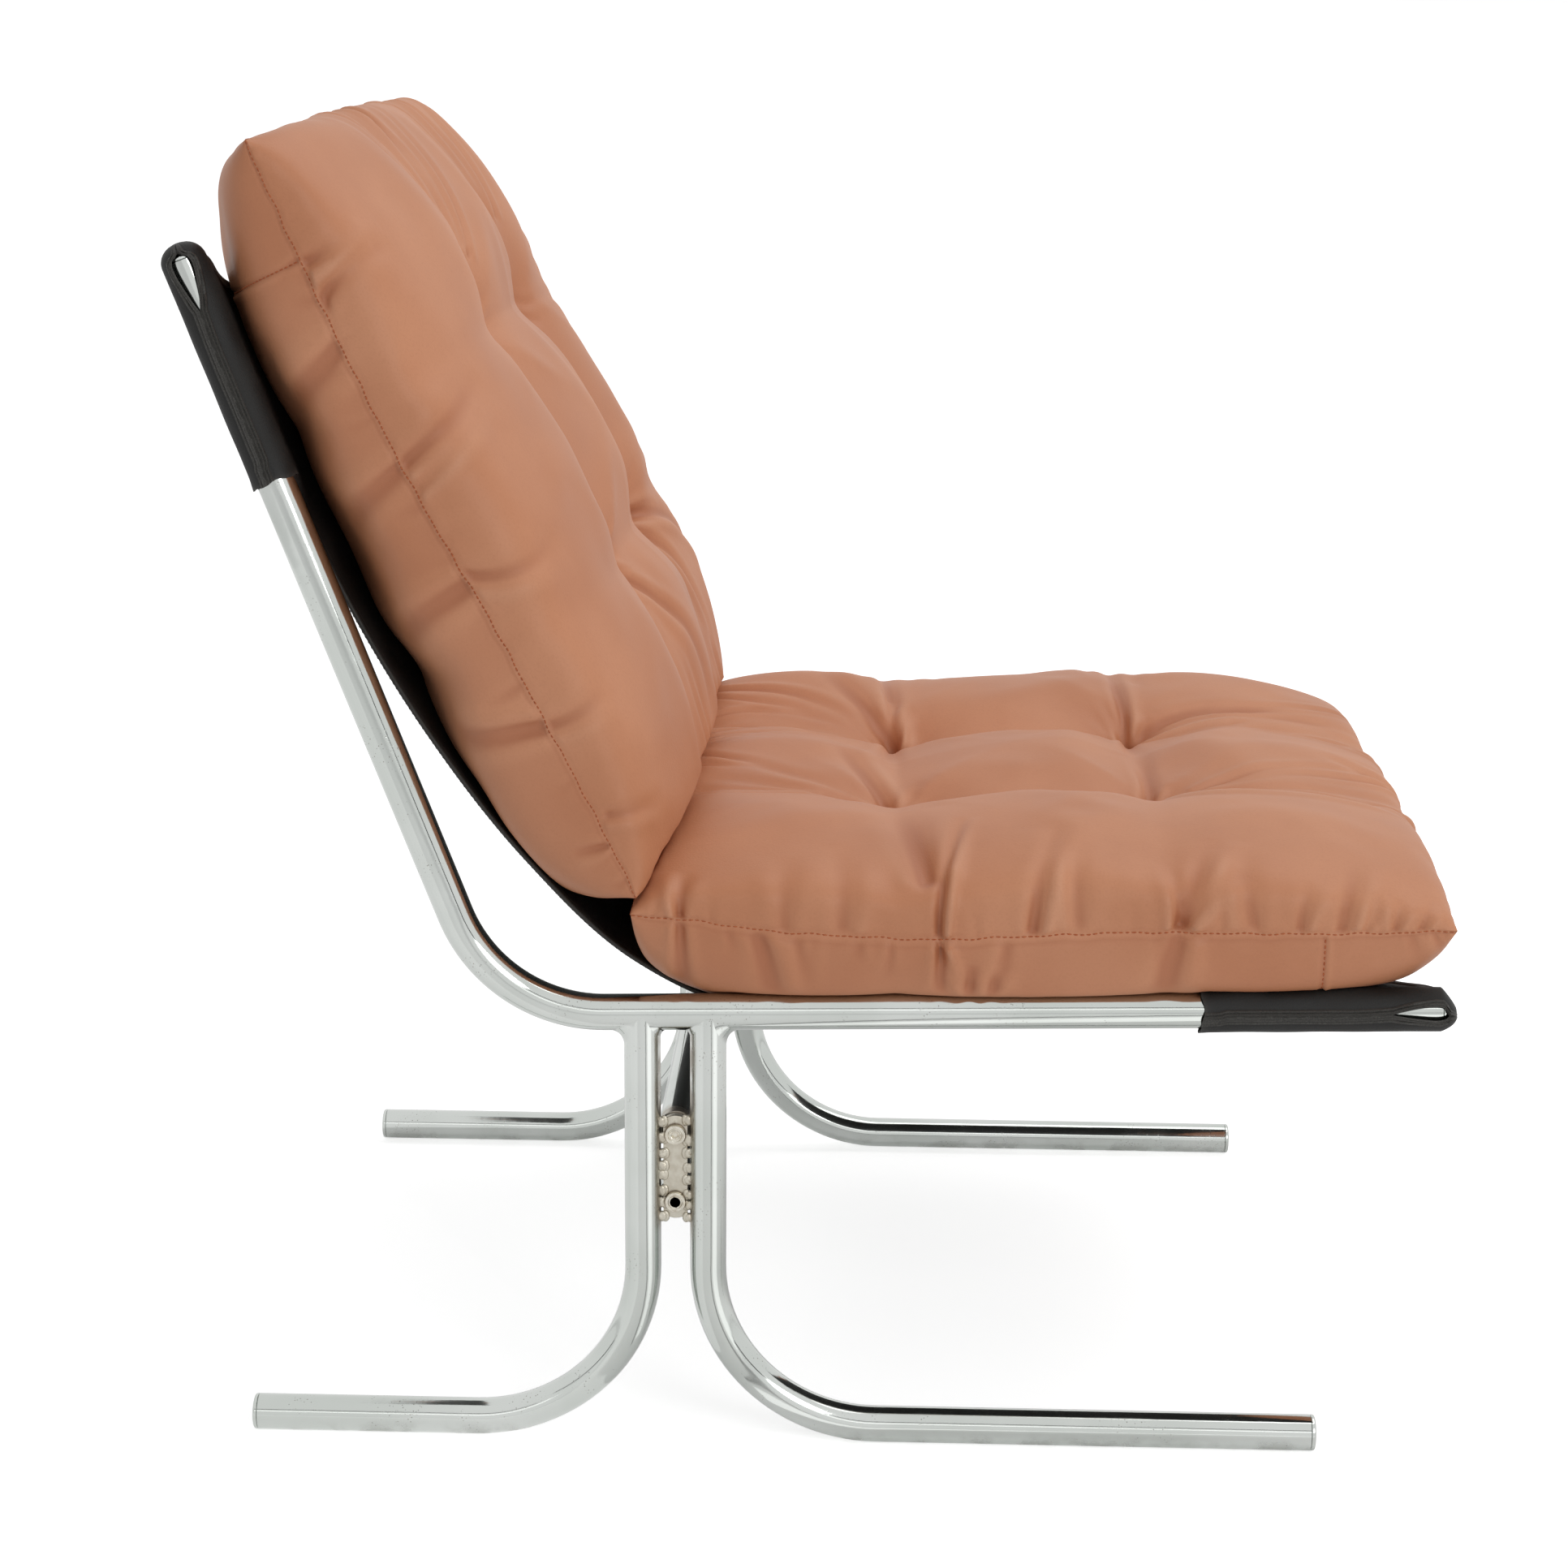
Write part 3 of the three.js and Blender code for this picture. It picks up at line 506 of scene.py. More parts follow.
def head_loop(bm, stand, radius, reach):
    return bmesh.ops.create_circle(
        bm, segments=HEAD_CORNERS, radius=radius, matrix=stand @ Matrix.Translation((0, 0, reach))
    )["verts"]


def socket_corner(corner, turn):
    """Where a corner of a unit circle lies on the six-sided socket."""
    angle = math.atan2(corner.y, corner.x)
    off = (angle + turn) % (math.pi / 3) - math.pi / 6
    across = SOCKET_ACROSS / 2 / math.cos(off)
    return Vector((across * math.cos(angle), across * math.sin(angle), corner.z))


def rim_of(bm, *loops):
    return [e for e in bm.edges if any(all(v in loop for v in e.verts) for loop in loops)]


def socket_screw(lift, turn):
    stand = facing(Vector((0, -PLATE_THICKNESS / 2 - 0.0001, lift)), Vector((0, -1, 0)))

    def make(bm):
        loops = [head_loop(bm, stand, radius, reach) for radius, reach in HEAD_PROFILE]
        for reach in (SOCKET_TOP, SOCKET_FLOOR):
            loop = head_loop(bm, Matrix(), 1, reach)
            for v in loop:
                v.co = stand @ socket_corner(v.co, turn)
            loops.append(loop)
        for first, second in zip(loops, loops[1:]):
            bmesh.ops.bridge_loops(bm, edges=rim_of(bm, first, second))
        for loop in (loops[0], loops[-1]):
            bmesh.ops.contextual_create(bm, geom=rim_of(bm, loop))
    return make


nickel_plate = nickel()
for name, lift, turn in (("upper_screw", UPPER_SCREW, 0.5), ("lower_screw", LOWER_SCREW, 0.1)):
    on_both_sides(socket_screw(lift, turn), f"{name}_head", nickel_plate, "screw_steel", name, sharp=30)


# Stretchers: two lengths of the same tube, one over the other, that hold the side frames apart.
# Each end beds between the two legs and is closed by a threaded plug for the screw.
STRETCHER_INSET = 0.0083
STRETCHER_BEVEL = 0.0006

for name, lift in (("upper", UPPER_SCREW), ("lower", LOWER_SCREW)):
    bm = bmesh.new()
    bmesh.ops.create_cone(
        bm, cap_ends=True, segments=TUBE_CORNERS, radius1=TUBE_RADIUS, radius2=TUBE_RADIUS,
        depth=2 * (SIDE_Y - STRETCHER_INSET), matrix=facing(Vector((LEGS_X, 0, lift)), Vector((0, 1, 0))),
    )
    rims = [e for e in bm.edges if e.calc_face_angle() > SQUARE_RIM]
    bmesh.ops.bevel(
        bm, geom=rims, affect="EDGES", offset=STRETCHER_BEVEL, segments=2, profile=0.5, material=-1
    )
    plugs = [f"{name}_stretcher_plug_{side}" for side in ("right", "left")]
    keep(bm, f"{name}_stretcher_tube", chrome, "frame_chrome", f"{name}_stretcher", *plugs)


# Sling sleeves. The hide's corners are wrapped round the open tube ends and sewn along the outer face.
# The seam's last stretch is left open as a slit with a rolled rim, and the tube's plug shows in it.
SLEEVE_RADIUS = 0.0139
SLEEVE_FACE = 0.0072
LEATHER = 0.0012
RIDGES = 3
RIDGE_STEP = 0.00175
RIDGE_WIDTH = 0.00038
RIDGE_HEIGHT = 0.00085
STRIP_HEIGHT = 0.00035
ROLLED_RIM = 0.0007
MOUTH_FLARE = 0.0006
SLACK_HEIGHT = 0.00022
# Grey of ridges and edges on the black hide: partly wear, partly painted sheen.
WEAR_AND_SHEEN_GREY = (0.085, 0.081, 0.073)


def black_hide():
    """Black chrome-tanned hide: close matt grain, greyer on ridges and edges, partly from rubbing wear and
    partly as painted sheen.
    """
    material, tree = new_material("black_hide")
    cloud, fine = mottle(tree, 26, 7), mottle(tree, 1500, 3)
    wear_and_sheen = add(tree, "ShaderNodeAttribute", {}, "Fac", attribute_name="wear_and_sheen")
    colour = blend(tree, ramp(tree, cloud, 0.33, 0.7), (0.0085, 0.0083, 0.0078), (0.018, 0.0172, 0.016))
    colour = blend(tree, times(tree, wear_and_sheen, ramp(tree, fine, 0.3, 0.7, 0.25, 0.9)), colour, WEAR_AND_SHEEN_GREY)
    relief = (reckon(tree, "ADD", specks(tree, 1100), fine), 0.3, 0.0004)
    return dress(material, colour, ramp(tree, cloud, 0.3, 0.7, 0.52, 0.68), relief, Specular_IOR_Level=0.29)


hide = black_hide()
back_way, back_up = -ahead(upright_heading), ahead(upright_heading + math.pi / 2)
front_way, front_up = ahead(RAIL_RISE), ahead(RAIL_RISE + math.pi / 2)


def smooth_step(value, low, high):
    t = np.clip((value - low) / (high - low), 0, 1)
    return t * t * (3 - 2 * t)


def bell(value, width):
    """1 at nothing, and falling away on both sides within a width."""
    return np.exp(-((value / width) ** 2))


def sleeve_form(slit, nose):
    """Grid of a sleeve's outer face: reach along the tube, height and width off its axis, and its grey of
    wear and painted sheen.
    """
    long, fine_from = slit["mouth"], slit["tip"] - 0.004
    steps = [np.arange(-long, fine_from, 0.0028), np.arange(fine_from, nose["reach"], 0.0009)]
    reach = np.concatenate(steps + [[nose["reach"]]])
    half_round = math.pi * SLEEVE_RADIUS
    round_back = np.linspace(SLEEVE_FACE, half_round, 15)[1:]
    wrap = np.concatenate([np.arange(0, SLEEVE_FACE, 0.0003), round_back])
    wrap = np.concatenate([wrap / half_round, 2 - wrap[-2::-1] / half_round])
    s, u = np.meshgrid(reach, wrap, indexing="ij")
    open_share = np.clip((s - slit["tip"]) / (slit["end"] - slit["tip"]), 0, 1)
    gap = slit["width"] * np.sqrt(open_share) ** 1.6 * np.sqrt(np.clip(1 - open_share**7, 0, 1))
    lip = gap / SLEEVE_RADIUS
    middle = -0.04 - 0.10 * smooth_step(-s, long - 0.016, long - 0.011)
    middle = middle + slit["turn"] * smooth_step(s, slit["tip"] - 0.03, slit["tip"] + 0.02)
    angle = middle + lip + u * (math.pi - lip)
    from_lip = np.minimum(u, 2 - u) * (half_round - gap)
    strip = 1 - smooth_step(from_lip, 0.0039, 0.0052)
    ridges = sum(bell(from_lip - number * RIDGE_STEP, RIDGE_WIDTH) for number in range(RIDGES)) * strip
    mouth = smooth_step(-s, long - 0.007, long)
    rolled = smooth_step(gap, 0.0003, 0.0025) * bell(from_lip, 0.0011)
    radius = SLEEVE_RADIUS + STRIP_HEIGHT * strip + RIDGE_HEIGHT * ridges + ROLLED_RIM * rolled
    radius = radius + MOUTH_FLARE * mouth * (1 + 0.8 * np.sin(3 * angle + slit["turn"] * 9))
    wrinkles = np.sin(angle * 2 + s * 70) * np.sin(s * 55 + 1.3) + 0.6 * np.sin(angle * 3 - s * 120)
    radius = radius + SLACK_HEIGHT * wrinkles
    s = s + mouth * 0.0011 * (np.sin(angle * 2 + 1) + 0.6 * np.sin(angle * 5))
    high, wide = radius * np.sin(angle), radius * np.cos(angle)
    share = np.clip((s - nose["start"]) / (nose["reach"] - nose["start"]), 0, 1)
    close = (1 - share ** nose["bluntness"]) ** (1 / nose["bluntness"])
    high = high * (close * (1 - nose["flat"]) + nose["flat"] * (1 - 0.75 * share)) + nose["drop"] * share
    wide = wide * (0.12 + 0.88 * (1 - share**2.4) ** 0.5)
    # Ridges, rolled rim and mouth are greyed: partly rubbing wear, partly painted sheen.
    return s, high, wide, np.clip(0.95 * ridges + 0.5 * rolled + 0.5 * mouth**4, 0, 1)


def sleeve(name, node, end, way, up, slit, nose):
    """Wraps both sides' tube ends in hide: a skin laid out as a grid and given the hide's thickness."""
    s, high, wide, wear_and_sheen = sleeve_form(slit, nose)
    points = np.array(end) + s[..., None] * np.array(way) + high[..., None] * np.array(up)
    points[..., 0] += LEGS_X
    points[..., 1] = -SIDE_Y - wide
    centre = Vector(end) + Vector((LEGS_X, -SIDE_Y, 0))
    for side, hand in (("right", 1), ("left", -1)):
        bm = bmesh.new()
        wear_and_sheen_layer = bm.verts.layers.float.new("wear_and_sheen")
        grid = [[bm.verts.new(point) for point in row] for row in points]
        for corners, shades in zip(grid, wear_and_sheen):
            for v, shade in zip(corners, shades):
                v[wear_and_sheen_layer] = shade
        for first, second in zip(grid, grid[1:]):
            for near, far in zip(zip(first, first[1:]), zip(second, second[1:])):
                bm.faces.new([near[0], near[1], far[1], far[0]])
        bmesh.ops.recalc_face_normals(bm, faces=bm.faces)
        face = grid[4][len(grid[4]) // 2].link_faces[0]
        out = face.calc_center_median() - centre
        if (out - way * out.dot(way)).dot(face.normal) > 0:
            bmesh.ops.reverse_faces(bm, faces=bm.faces)
        bmesh.ops.solidify(bm, geom=bm.faces, thickness=LEATHER)
        bmesh.ops.scale(bm, verts=bm.verts, vec=(1, hand, 1))
        keep(bm, f"{name}_{side}", hide, "sling_hide", f"{node}_{side}", sharp=75)


sleeve(
    "front_tube_sleeve", "seat_sleeve", rail_end, front_way, front_up,
    {"mouth": 0.161, "tip": -0.034, "end": 0.0030, "width": 0.0056, "turn": 0.14},
    {"start": 0.0, "reach": 0.0095, "bluntness": 2.0, "flat": 0.75, "drop": -0.0032},
)
sleeve(
    "back_tube_sleeve", "back_sleeve", upright_end, back_way, back_up,
    {"mouth": 0.153, "tip": -0.034, "end": 0.0036, "width": 0.0080, "turn": 0.12},
    {"start": -0.002, "reach": 0.0098, "bluntness": 2.1, "flat": 0.0, "drop": 0.0},
)


# Sling panel: the same hide, hung between the sleeves, with its edges turned under and sewn.
# It flows off the top of each sleeve, drops clear of the frame between them, and sags under the cushions.
SLING_EDGE = 0.276
SLING_THICKNESS = 0.0023
SLING_ABOVE_TUBE = 0.005
SLEEVED_STRETCH = 0.161
HEM = 0.0112
HEM_SEAM = 0.0050
FREE_EDGE_SHARES = [
    (0.066, 0.255), (0.146, 0.496), (0.25, 0.741), (0.368, 0.941), (0.47, 1.03), (0.6, 1.05),
    (0.75, 1.05), (0.88, 1.03),
]


def on_tube(end, way, up, back):
    return end - way * back + up * SLING_ABOVE_TUBE


back_mouth = on_tube(upright_end, back_way, back_up, SLEEVED_STRETCH)
front_mouth = on_tube(rail_end, front_way, front_up, SLEEVED_STRETCH)
line = [on_tube(upright_end, back_way, back_up, back) for back in (0, 0.08)] + [back_mouth]
for forward_share, down_share in FREE_EDGE_SHARES:
    x = back_mouth.x + forward_share * (front_mouth.x - back_mouth.x)
    line.append(Vector((x, 0, back_mouth.z + down_share * (front_mouth.z - back_mouth.z))))
line += [front_mouth] + [on_tube(rail_end, front_way, front_up, back) for back in (0.08, 0)]
spots = np.array(line)[:, [0, 2]]


def walked_along(points):
    """Distance from the first point to each point of a path."""
    return np.concatenate([[0], np.cumsum(np.linalg.norm(np.diff(points, axis=0), axis=1))])


walk = walked_along(spots)
SLING_LENGTH = walk[-1]


def smooth_curve(table, places):
    """A smooth curve through a few (place, value) pairs."""
    known, values = np.array(table).T
    slopes = np.gradient(values, known)
    index = np.clip(np.searchsorted(known, places) - 1, 0, len(known) - 2)
    step = known[index + 1] - known[index]
    t = np.clip((places - known[index]) / step, 0, 1)
    rise = (2 * t**3 - 3 * t**2 + 1) * values[index] + (3 * t**2 - 2 * t**3) * values[index + 1]
    return rise + ((t**3 - 2 * t**2 + t) * slopes[index] + (t**3 - t**2) * slopes[index + 1]) * step


def side_line(walked):
    """Where the sling's side line is, forwards and up, at a distance walked down from the tube tops."""
    return np.stack([smooth_curve(np.stack([walk, spots[:, axis]], 1), walked) for axis in (0, 1)])


def sling_surface(walked, across):
    """Upper face of the sling at a distance walked down it, from edge to edge."""
    x, z = side_line(walked)
    near = 0.002
    dx, dz = side_line(walked + near) - side_line(walked - near)
    size = np.maximum(1e-9, np.hypot(dx, dz))
    normal = np.stack([-dz / size, 0 * dx, dx / size], -1)
    from_end = np.minimum(walked, SLING_LENGTH - walked)
    sleeved = 1 - smooth_step(from_end, 0.148, 0.185)
    width = across * (SLING_EDGE + 0.0165 * sleeved)
    over_tube = 1 - smooth_step(SIDE_Y + 0.001 - np.abs(width), 0.0, 0.07)
    tucked = smooth_step(np.abs(width), SIDE_Y - 0.001, SIDE_Y + 0.0025)
    sag = 0.004 + 0.008 * smooth_step(walked / SLING_LENGTH, 0.35, 0.75)
    lift = 0.0012 + sleeved * (0.0079 * over_tube - 0.0008 * tucked) - sag * (1 - across**2)
    points = np.stack([x + LEGS_X, width, z], -1) + normal * lift[..., None]
    return points, normal, sleeved


def edged(length, count):
    """Places from 0 to a length, close together near both ends where the hem is turned."""
    near = np.array([
        0, 0.0005, 0.0012, 0.0022, 0.0034, 0.0044, 0.0050, 0.0056, 0.0066, 0.0080, 0.0098, 0.0106, 0.0114,
        0.014,
    ])
    return np.concatenate([near, np.linspace(near[-1], length - near[-1], count)[1:-1], length - near[::-1]])


down = edged(SLING_LENGTH, 200)
over = edged(2 * SLING_EDGE, 84)
row, across = np.meshgrid(down / SLING_LENGTH, over / SLING_EDGE - 1, indexing="ij")
top = 0.05 * (1 - across**2)
bottom = SLING_LENGTH - 0.07 * (1 - across**2)
walked = top + row * (bottom - top)
upper, normal, sleeved = sling_surface(walked, across)
from_hem = np.minimum(row, 1 - row) * SLING_LENGTH
from_side = (1 - np.abs(across)) * SLING_EDGE
border = np.minimum(from_hem, from_side + 0.02 * sleeved)
turned_under = 1 - smooth_step(border, 0.0098, HEM)
sunk = bell(border - HEM_SEAM, 0.0007)
edge_round = np.sqrt(np.clip(np.minimum(from_hem, from_side) / 0.0013, 0, 1))
ruffle = np.sin(across * 31 + np.sin(walked * 20)) * bell(from_hem, 0.03) * (1 - sleeved * 0.5)
upper = upper + normal * (0.0004 * (turned_under - sunk + ruffle))[..., None]
thickness = (SLING_THICKNESS + 0.0009 * turned_under) * edge_round
middle_layer = upper - normal * SLING_THICKNESS / 2
faces = [middle_layer + side * normal * (thickness / 2)[..., None] for side in (1, -1)]


def panel_indices(rows, columns):
    """Numbers of the corners of both faces. The lower one shares the upper one's border."""
    first = np.arange(rows * columns).reshape(rows, columns)
    second = first.copy()
    inner = (rows - 2) * (columns - 2)
    second[1:-1, 1:-1] = np.arange(rows * columns, rows * columns + inner).reshape(rows - 2, columns - 2)
    return first, second


def sewn_mesh(name, panels):
    """A closed mesh of two grids of points that share their border."""
    first, second = panel_indices(*panels[0].shape[:2])
    corners = np.concatenate([panels[0].reshape(-1, 3), panels[1][1:-1, 1:-1].reshape(-1, 3)])
    cells = []
    for grid in (first[:, ::-1], second):
        quads = (grid[:-1, :-1], grid[1:, :-1], grid[1:, 1:], grid[:-1, 1:])
        cells.append(np.stack(quads, axis=-1).reshape(-1, 4))
    mesh = bpy.data.meshes.new(name)
    mesh.from_pydata(corners.tolist(), [], np.concatenate(cells).tolist())
    return mesh


def sewn_piece(name, panels, material, node, layer, values):
    """Shows two sewn faces as a piece, with one value kept at each of its points."""
    mesh = sewn_mesh(name, panels)
    mesh.shade_smooth()
    both = np.concatenate([values[0].ravel(), values[1][1:-1, 1:-1].ravel()])
    mesh.attributes.new(layer, "FLOAT", "POINT").data.foreach_set("value", both.astype(np.float32))
    return chair_piece(name, mesh, material, [node])


# Greyer along the sling's very edges: partly wear, partly painted sheen.
edge_wear_and_sheen = 0.6 * bell(border, 0.0012)
sling = sewn_piece("hung_sling", faces, hide, "sling_panel", "wear_and_sheen", (edge_wear_and_sheen, edge_wear_and_sheen))


# Hem stitches: black thread, 5 mm inside the turned edges all round, seen from behind.
# Each stitch lies half in the leather.
STITCH_CORNERS = 6
STITCH_ENDS = ((-1, 0.0), (-0.86, 0.62), (-0.3, 1.0), (0.3, 1.0), (0.86, 0.62), (1, 0.0))
HEM_ROW = 6


def stitch_run(bm, points, outward, pitch, length, radius, sink):
    """Sews a dashed line of short round stitches along a path."""
    walked = walked_along(points)

    def along(table, place):
        return Vector([np.interp(place, walked, table[:, axis]) for axis in range(3)])

    count = int(walked[-1] / pitch)
    hands = random.Random(count)
    for number in range(count):
        middle = (number + 0.5) * walked[-1] / count
        long = length * hands.uniform(0.85, 1.1)
        start, end = (along(points, middle + side * long / 2) for side in (-1, 1))
        out = along(outward, middle).normalized()
        side = (end - start).normalized().cross(out)
        rings = []
        for t, size in STITCH_ENDS:
            centre = start.lerp(end, (t + 1) / 2) + out * (radius * (1 - 0.9 * t * t) - sink)
            ring = []
            for corner in range(STITCH_CORNERS if size else 1):
                angle = corner * 2 * math.pi / STITCH_CORNERS
                way_out = side * math.cos(angle) + out * math.sin(angle)
                ring.append(bm.verts.new(centre + way_out * radius * size))
            rings.append(ring)
        loft(bm, rings)


black_thread, tree = new_material("black_thread")
dress(black_thread, blend(tree, mottle(tree, 900), (0.02, 0.019, 0.018), (0.07, 0.066, 0.06)), 0.6)
bm = bmesh.new()
between = slice(HEM_ROW, -HEM_ROW)
for where in ((between, HEM_ROW), (between, -HEM_ROW - 1), (HEM_ROW, between), (-HEM_ROW - 1, between)):
    out = -normal[where]
    stitch_run(bm, faces[1][where] + out * 0.0001, out, 0.0040, 0.0027, 0.00036, 0.00015)
keep(bm, "sling_hem_stitches", black_thread, "sling_hide")


# Seat cushion: two panels of tan leather, sewn together all round over a soft filling.
# Two by two tufts are sewn right through, and the leather swells between them.
# Both panels are worked on as grids of points, from -1 to 1 along the cushion and across it.
CUSHION_HALF = 0.306
SEAM_SWELL = 0.009
SEAM_POWER = 3.6
TUFT_PLACE = 1 / 3
COARSE_ROWS = 78
COARSE_COLUMNS = 86
SOFT_GAP = 0.0008
UNDER_REACH = 0.3
PRESS_TILT = math.radians(33)
PRESS_PLACE = (LEGS_X - 0.027, 0, 0.391)
CLOTH_FRAMES = 20
CLOTH_SHARE = 0.28
CLOTH_LIMIT = 0.004
CREASE_DEPTH = 0.0022
PIECING_DEPTH = 0.0011
PIECING_WIDTH = 0.0022
GROOVE_DEPTH = 0.0014
GROOVE_WIDTH = 0.0022


def edge_rise(share, power=SEAM_POWER):
    return np.sqrt(np.clip(1 - np.abs(share) ** power, 0, None))


def tuft_line(share):
    return np.exp(-((np.abs(np.abs(share) - TUFT_PLACE) / 0.13) ** 1.35))


def tuft_pit(along, across):
    away = np.hypot(np.abs(along) - TUFT_PLACE, np.abs(across) - TUFT_PLACE)
    return np.exp(-((away / 0.13) ** 1.15))


def seam_swell(share, other):
    near = (1 - np.abs(share)) / 0.06
    swell = SEAM_SWELL * near * np.exp(1 - near) * edge_rise(other) * (1 - 0.25 * tuft_line(other))
    return np.sign(share) * swell


def even_shares(half, crown, count):
    """Places from seam to seam, the same distance apart along the swollen leather, and half that way."""
    share = np.sin(np.linspace(-math.pi / 2, math.pi / 2, 4001))
    path = np.stack([half * share + seam_swell(share, 0 * share), crown * edge_rise(share)], 1)
    walked = walked_along(path)
    return np.interp(np.linspace(0, walked[-1], count + 1), walked, share), walked[-1] / 2


def panel_points(pad, height, along, across):
    """One panel of a cushion. The lower one has a height below nothing and its own fullness at each edge."""
    reach = pad["length"] / 2 * (1 + along) + seam_swell(along, across)
    shifted = along + pad["tuft_shift"]
    lengthwise = tuft_line(shifted) * (0.08 - 0.02 * across + 0.12 * bell(across, 0.34))
    crosswise = tuft_line(across) * (0.17 + 0.06 * bell(along, 0.34))
    pillow = 1 - np.maximum(lengthwise, crosswise) - 0.40 * tuft_pit(shifted, across)
    drop = smooth_curve(pad["seam_drop"], along)
    if height > 0:
        rear, front, sides, rise = SEAM_POWER, SEAM_POWER, SEAM_POWER, height
    else:
        rear, front = pad["end_powers"]
        sides, rise = smooth_curve(pad["side_powers"], along), height + drop
    swollen = edge_rise(along, np.where(along < 0, rear, front)) * edge_rise(across, sides)
    wavy = np.sin(43 * along + 3) + np.sin(71 * along + 37 * across) + np.sin(47 * across)
    wavy = wavy * bell(1 - np.maximum(np.abs(along), np.abs(across)), 0.035)
    lift = rise * swollen * pillow - drop - 0.0004 * wavy
    lift = lift - np.cos(math.pi / 2 * along) * pad["hollow"] * (1 - across**2)
    if height > 0:
        lift = lift - smooth_curve(pad["sat_in"], across) * edge_rise(along)
        lift = lift + pad["rear_fill"] * bell(along + 0.62, 0.3) * bell(across - 0.62, 0.26)
    start, ahead_way, up = (np.array(pad[name]) for name in ("start", "ahead", "up"))
    points = start + reach[..., None] * ahead_way + lift[..., None] * up
    points[..., 1] = CUSHION_HALF * across + seam_swell(across, along)
    return points


def support_tree():
    """What the cushions lie on, as one tree for rays."""
    bm = bmesh.new()
    bm.from_mesh(bpy.data.objects["hung_sling"].data)
    for name in ("rail_tube", "front_tube_sleeve", "back_tube_sleeve"):
        for side in ("right", "left"):
            bm.from_mesh(bpy.data.objects[f"{name}_{side}"].data)
    tree = BVHTree.FromBMesh(bm)
    bm.free()
    return tree


def blurred(field, reach):
    """A field on a grid, smoothed over some cells each way."""
    for _ in range(reach):
        for axis in (0, 1):
            padded = np.concatenate([field.take([0], axis), field, field.take([-1], axis)], axis)
            count = field.shape[axis]
            before, after = padded.take(range(0, count), axis), padded.take(range(2, count + 2), axis)
            field = 0.5 * field + 0.25 * (before + after)
    return field


def lift_clear(points, up_way):
    """Moves the points that lie below their support up onto it, and their neighbours along a little."""
    up = Vector(up_way)
    lifts = np.zeros(points.shape[:2])
    for index in np.ndindex(lifts.shape):
        start = Vector(points[index]) + up * UNDER_REACH
        hit, _, _, distance = supports.ray_cast(start, -up, UNDER_REACH + SOFT_GAP)
        if hit is not None:
            lifts[index] = UNDER_REACH + SOFT_GAP - distance
    lifts = np.maximum(lifts, blurred(lifts, 3 * len(lifts) // 100))
    return points + lifts[..., None] * np.array(up_way)


def keep_apart(points, side):
    """Flattens a cushion's end on the plane where the two cushions press on each other."""
    away = np.array([math.cos(PRESS_TILT), 0, -math.sin(PRESS_TILT)])
    beyond = np.minimum(0, side * ((points - np.array(PRESS_PLACE)) @ away) - SOFT_GAP / 2)
    return points - side * beyond[..., None] * away


def settle(pad, panels):
    upper, lower = (keep_apart(points, pad["side"]) for points in panels)
    return keep_apart(upper, pad["side"]), keep_apart(lift_clear(lower, pad["up"]), pad["side"])


def slack(pad, points):
    """1 where the lower panel hangs free, and 0 where it lies tight on the tubes."""
    start, normal = pad["rest"]
    height = (points - np.array(start) - (LEGS_X, 0, 0)) @ np.array(normal) - TUBE_RADIUS
    return smooth_step(height, -0.001, 0.011)


def fill_out(panels, pinned):
    """Blows the sewn panels up as slightly slack cloth, held at the seam and the tufts."""
    blown = in_scene("filling", sewn_mesh("filling", panels))
    upper, lower = panel_indices(*panels[0].shape[:2])
    held = set(upper[[0, -1]].ravel()) | set(upper[:, [0, -1]].ravel())
    held |= set(upper[pinned]) | set(lower[pinned])
    blown.vertex_groups.new(name="held").add([int(v) for v in held], 1, "REPLACE")
    cloth = blown.modifiers.new("filling", "CLOTH").settings
    cloth.quality = 5
    cloth.mass = 0.3
    cloth.tension_stiffness = cloth.compression_stiffness = 15
    cloth.shear_stiffness = 5
    cloth.bending_stiffness = 6
    cloth.use_pressure = True
    cloth.uniform_pressure_force = 4
    cloth.shrink_min = -0.035
    cloth.vertex_group_mass = "held"
    cloth.effector_weights.gravity = 0
    for number in range(CLOTH_FRAMES):
        bpy.context.scene.frame_set(number + 1)
    moved = blown.evaluated_get(bpy.context.evaluated_depsgraph_get()).data
    found = np.empty(len(moved.vertices) * 3)
    moved.vertices.foreach_get("co", found)
    found = found.reshape(-1, 3)
    bpy.data.objects.remove(blown)
    bpy.context.scene.frame_set(1)
    return found[upper], found[lower]


def wrinkled(pad, panels, grid):
    """Adds the middle-sized wrinkles of the blown cloth to both panels, within a few millimetres."""
    tufted = [np.abs(np.abs(places) - TUFT_PLACE) < 0.02 for places in grid]
    free = (1, slack(pad, panels[1])[..., None])
    made = []
    for start, found, share in zip(panels, fill_out(panels, tufted[0] & tufted[1]), free):
        moved = found - start
        moved = CLOTH_SHARE * (blurred(moved, 2) - blurred(moved, 30)) * share
        size = np.linalg.norm(moved, axis=-1, keepdims=True)
        made.append(start + moved * np.minimum(1, CLOTH_LIMIT / np.maximum(size, 1e-9)))
    return made


def finer(field):
    """Doubles a grid each way, with new points on smooth curves through the old ones."""
    for axis in (0, 1):
        rows = np.moveaxis(field, axis, 0)
        wide = np.concatenate([2 * rows[:1] - rows[1:2], rows, 2 * rows[-1:] - rows[-2:-1]])
        made = np.empty((2 * len(rows) - 1,) + rows.shape[1:])
        made[::2], made[1::2] = rows, (9 * (wide[1:-2] + wide[2:-1]) - wide[:-3] - wide[3:]) / 16
        field = np.moveaxis(made, 0, axis)
    return field


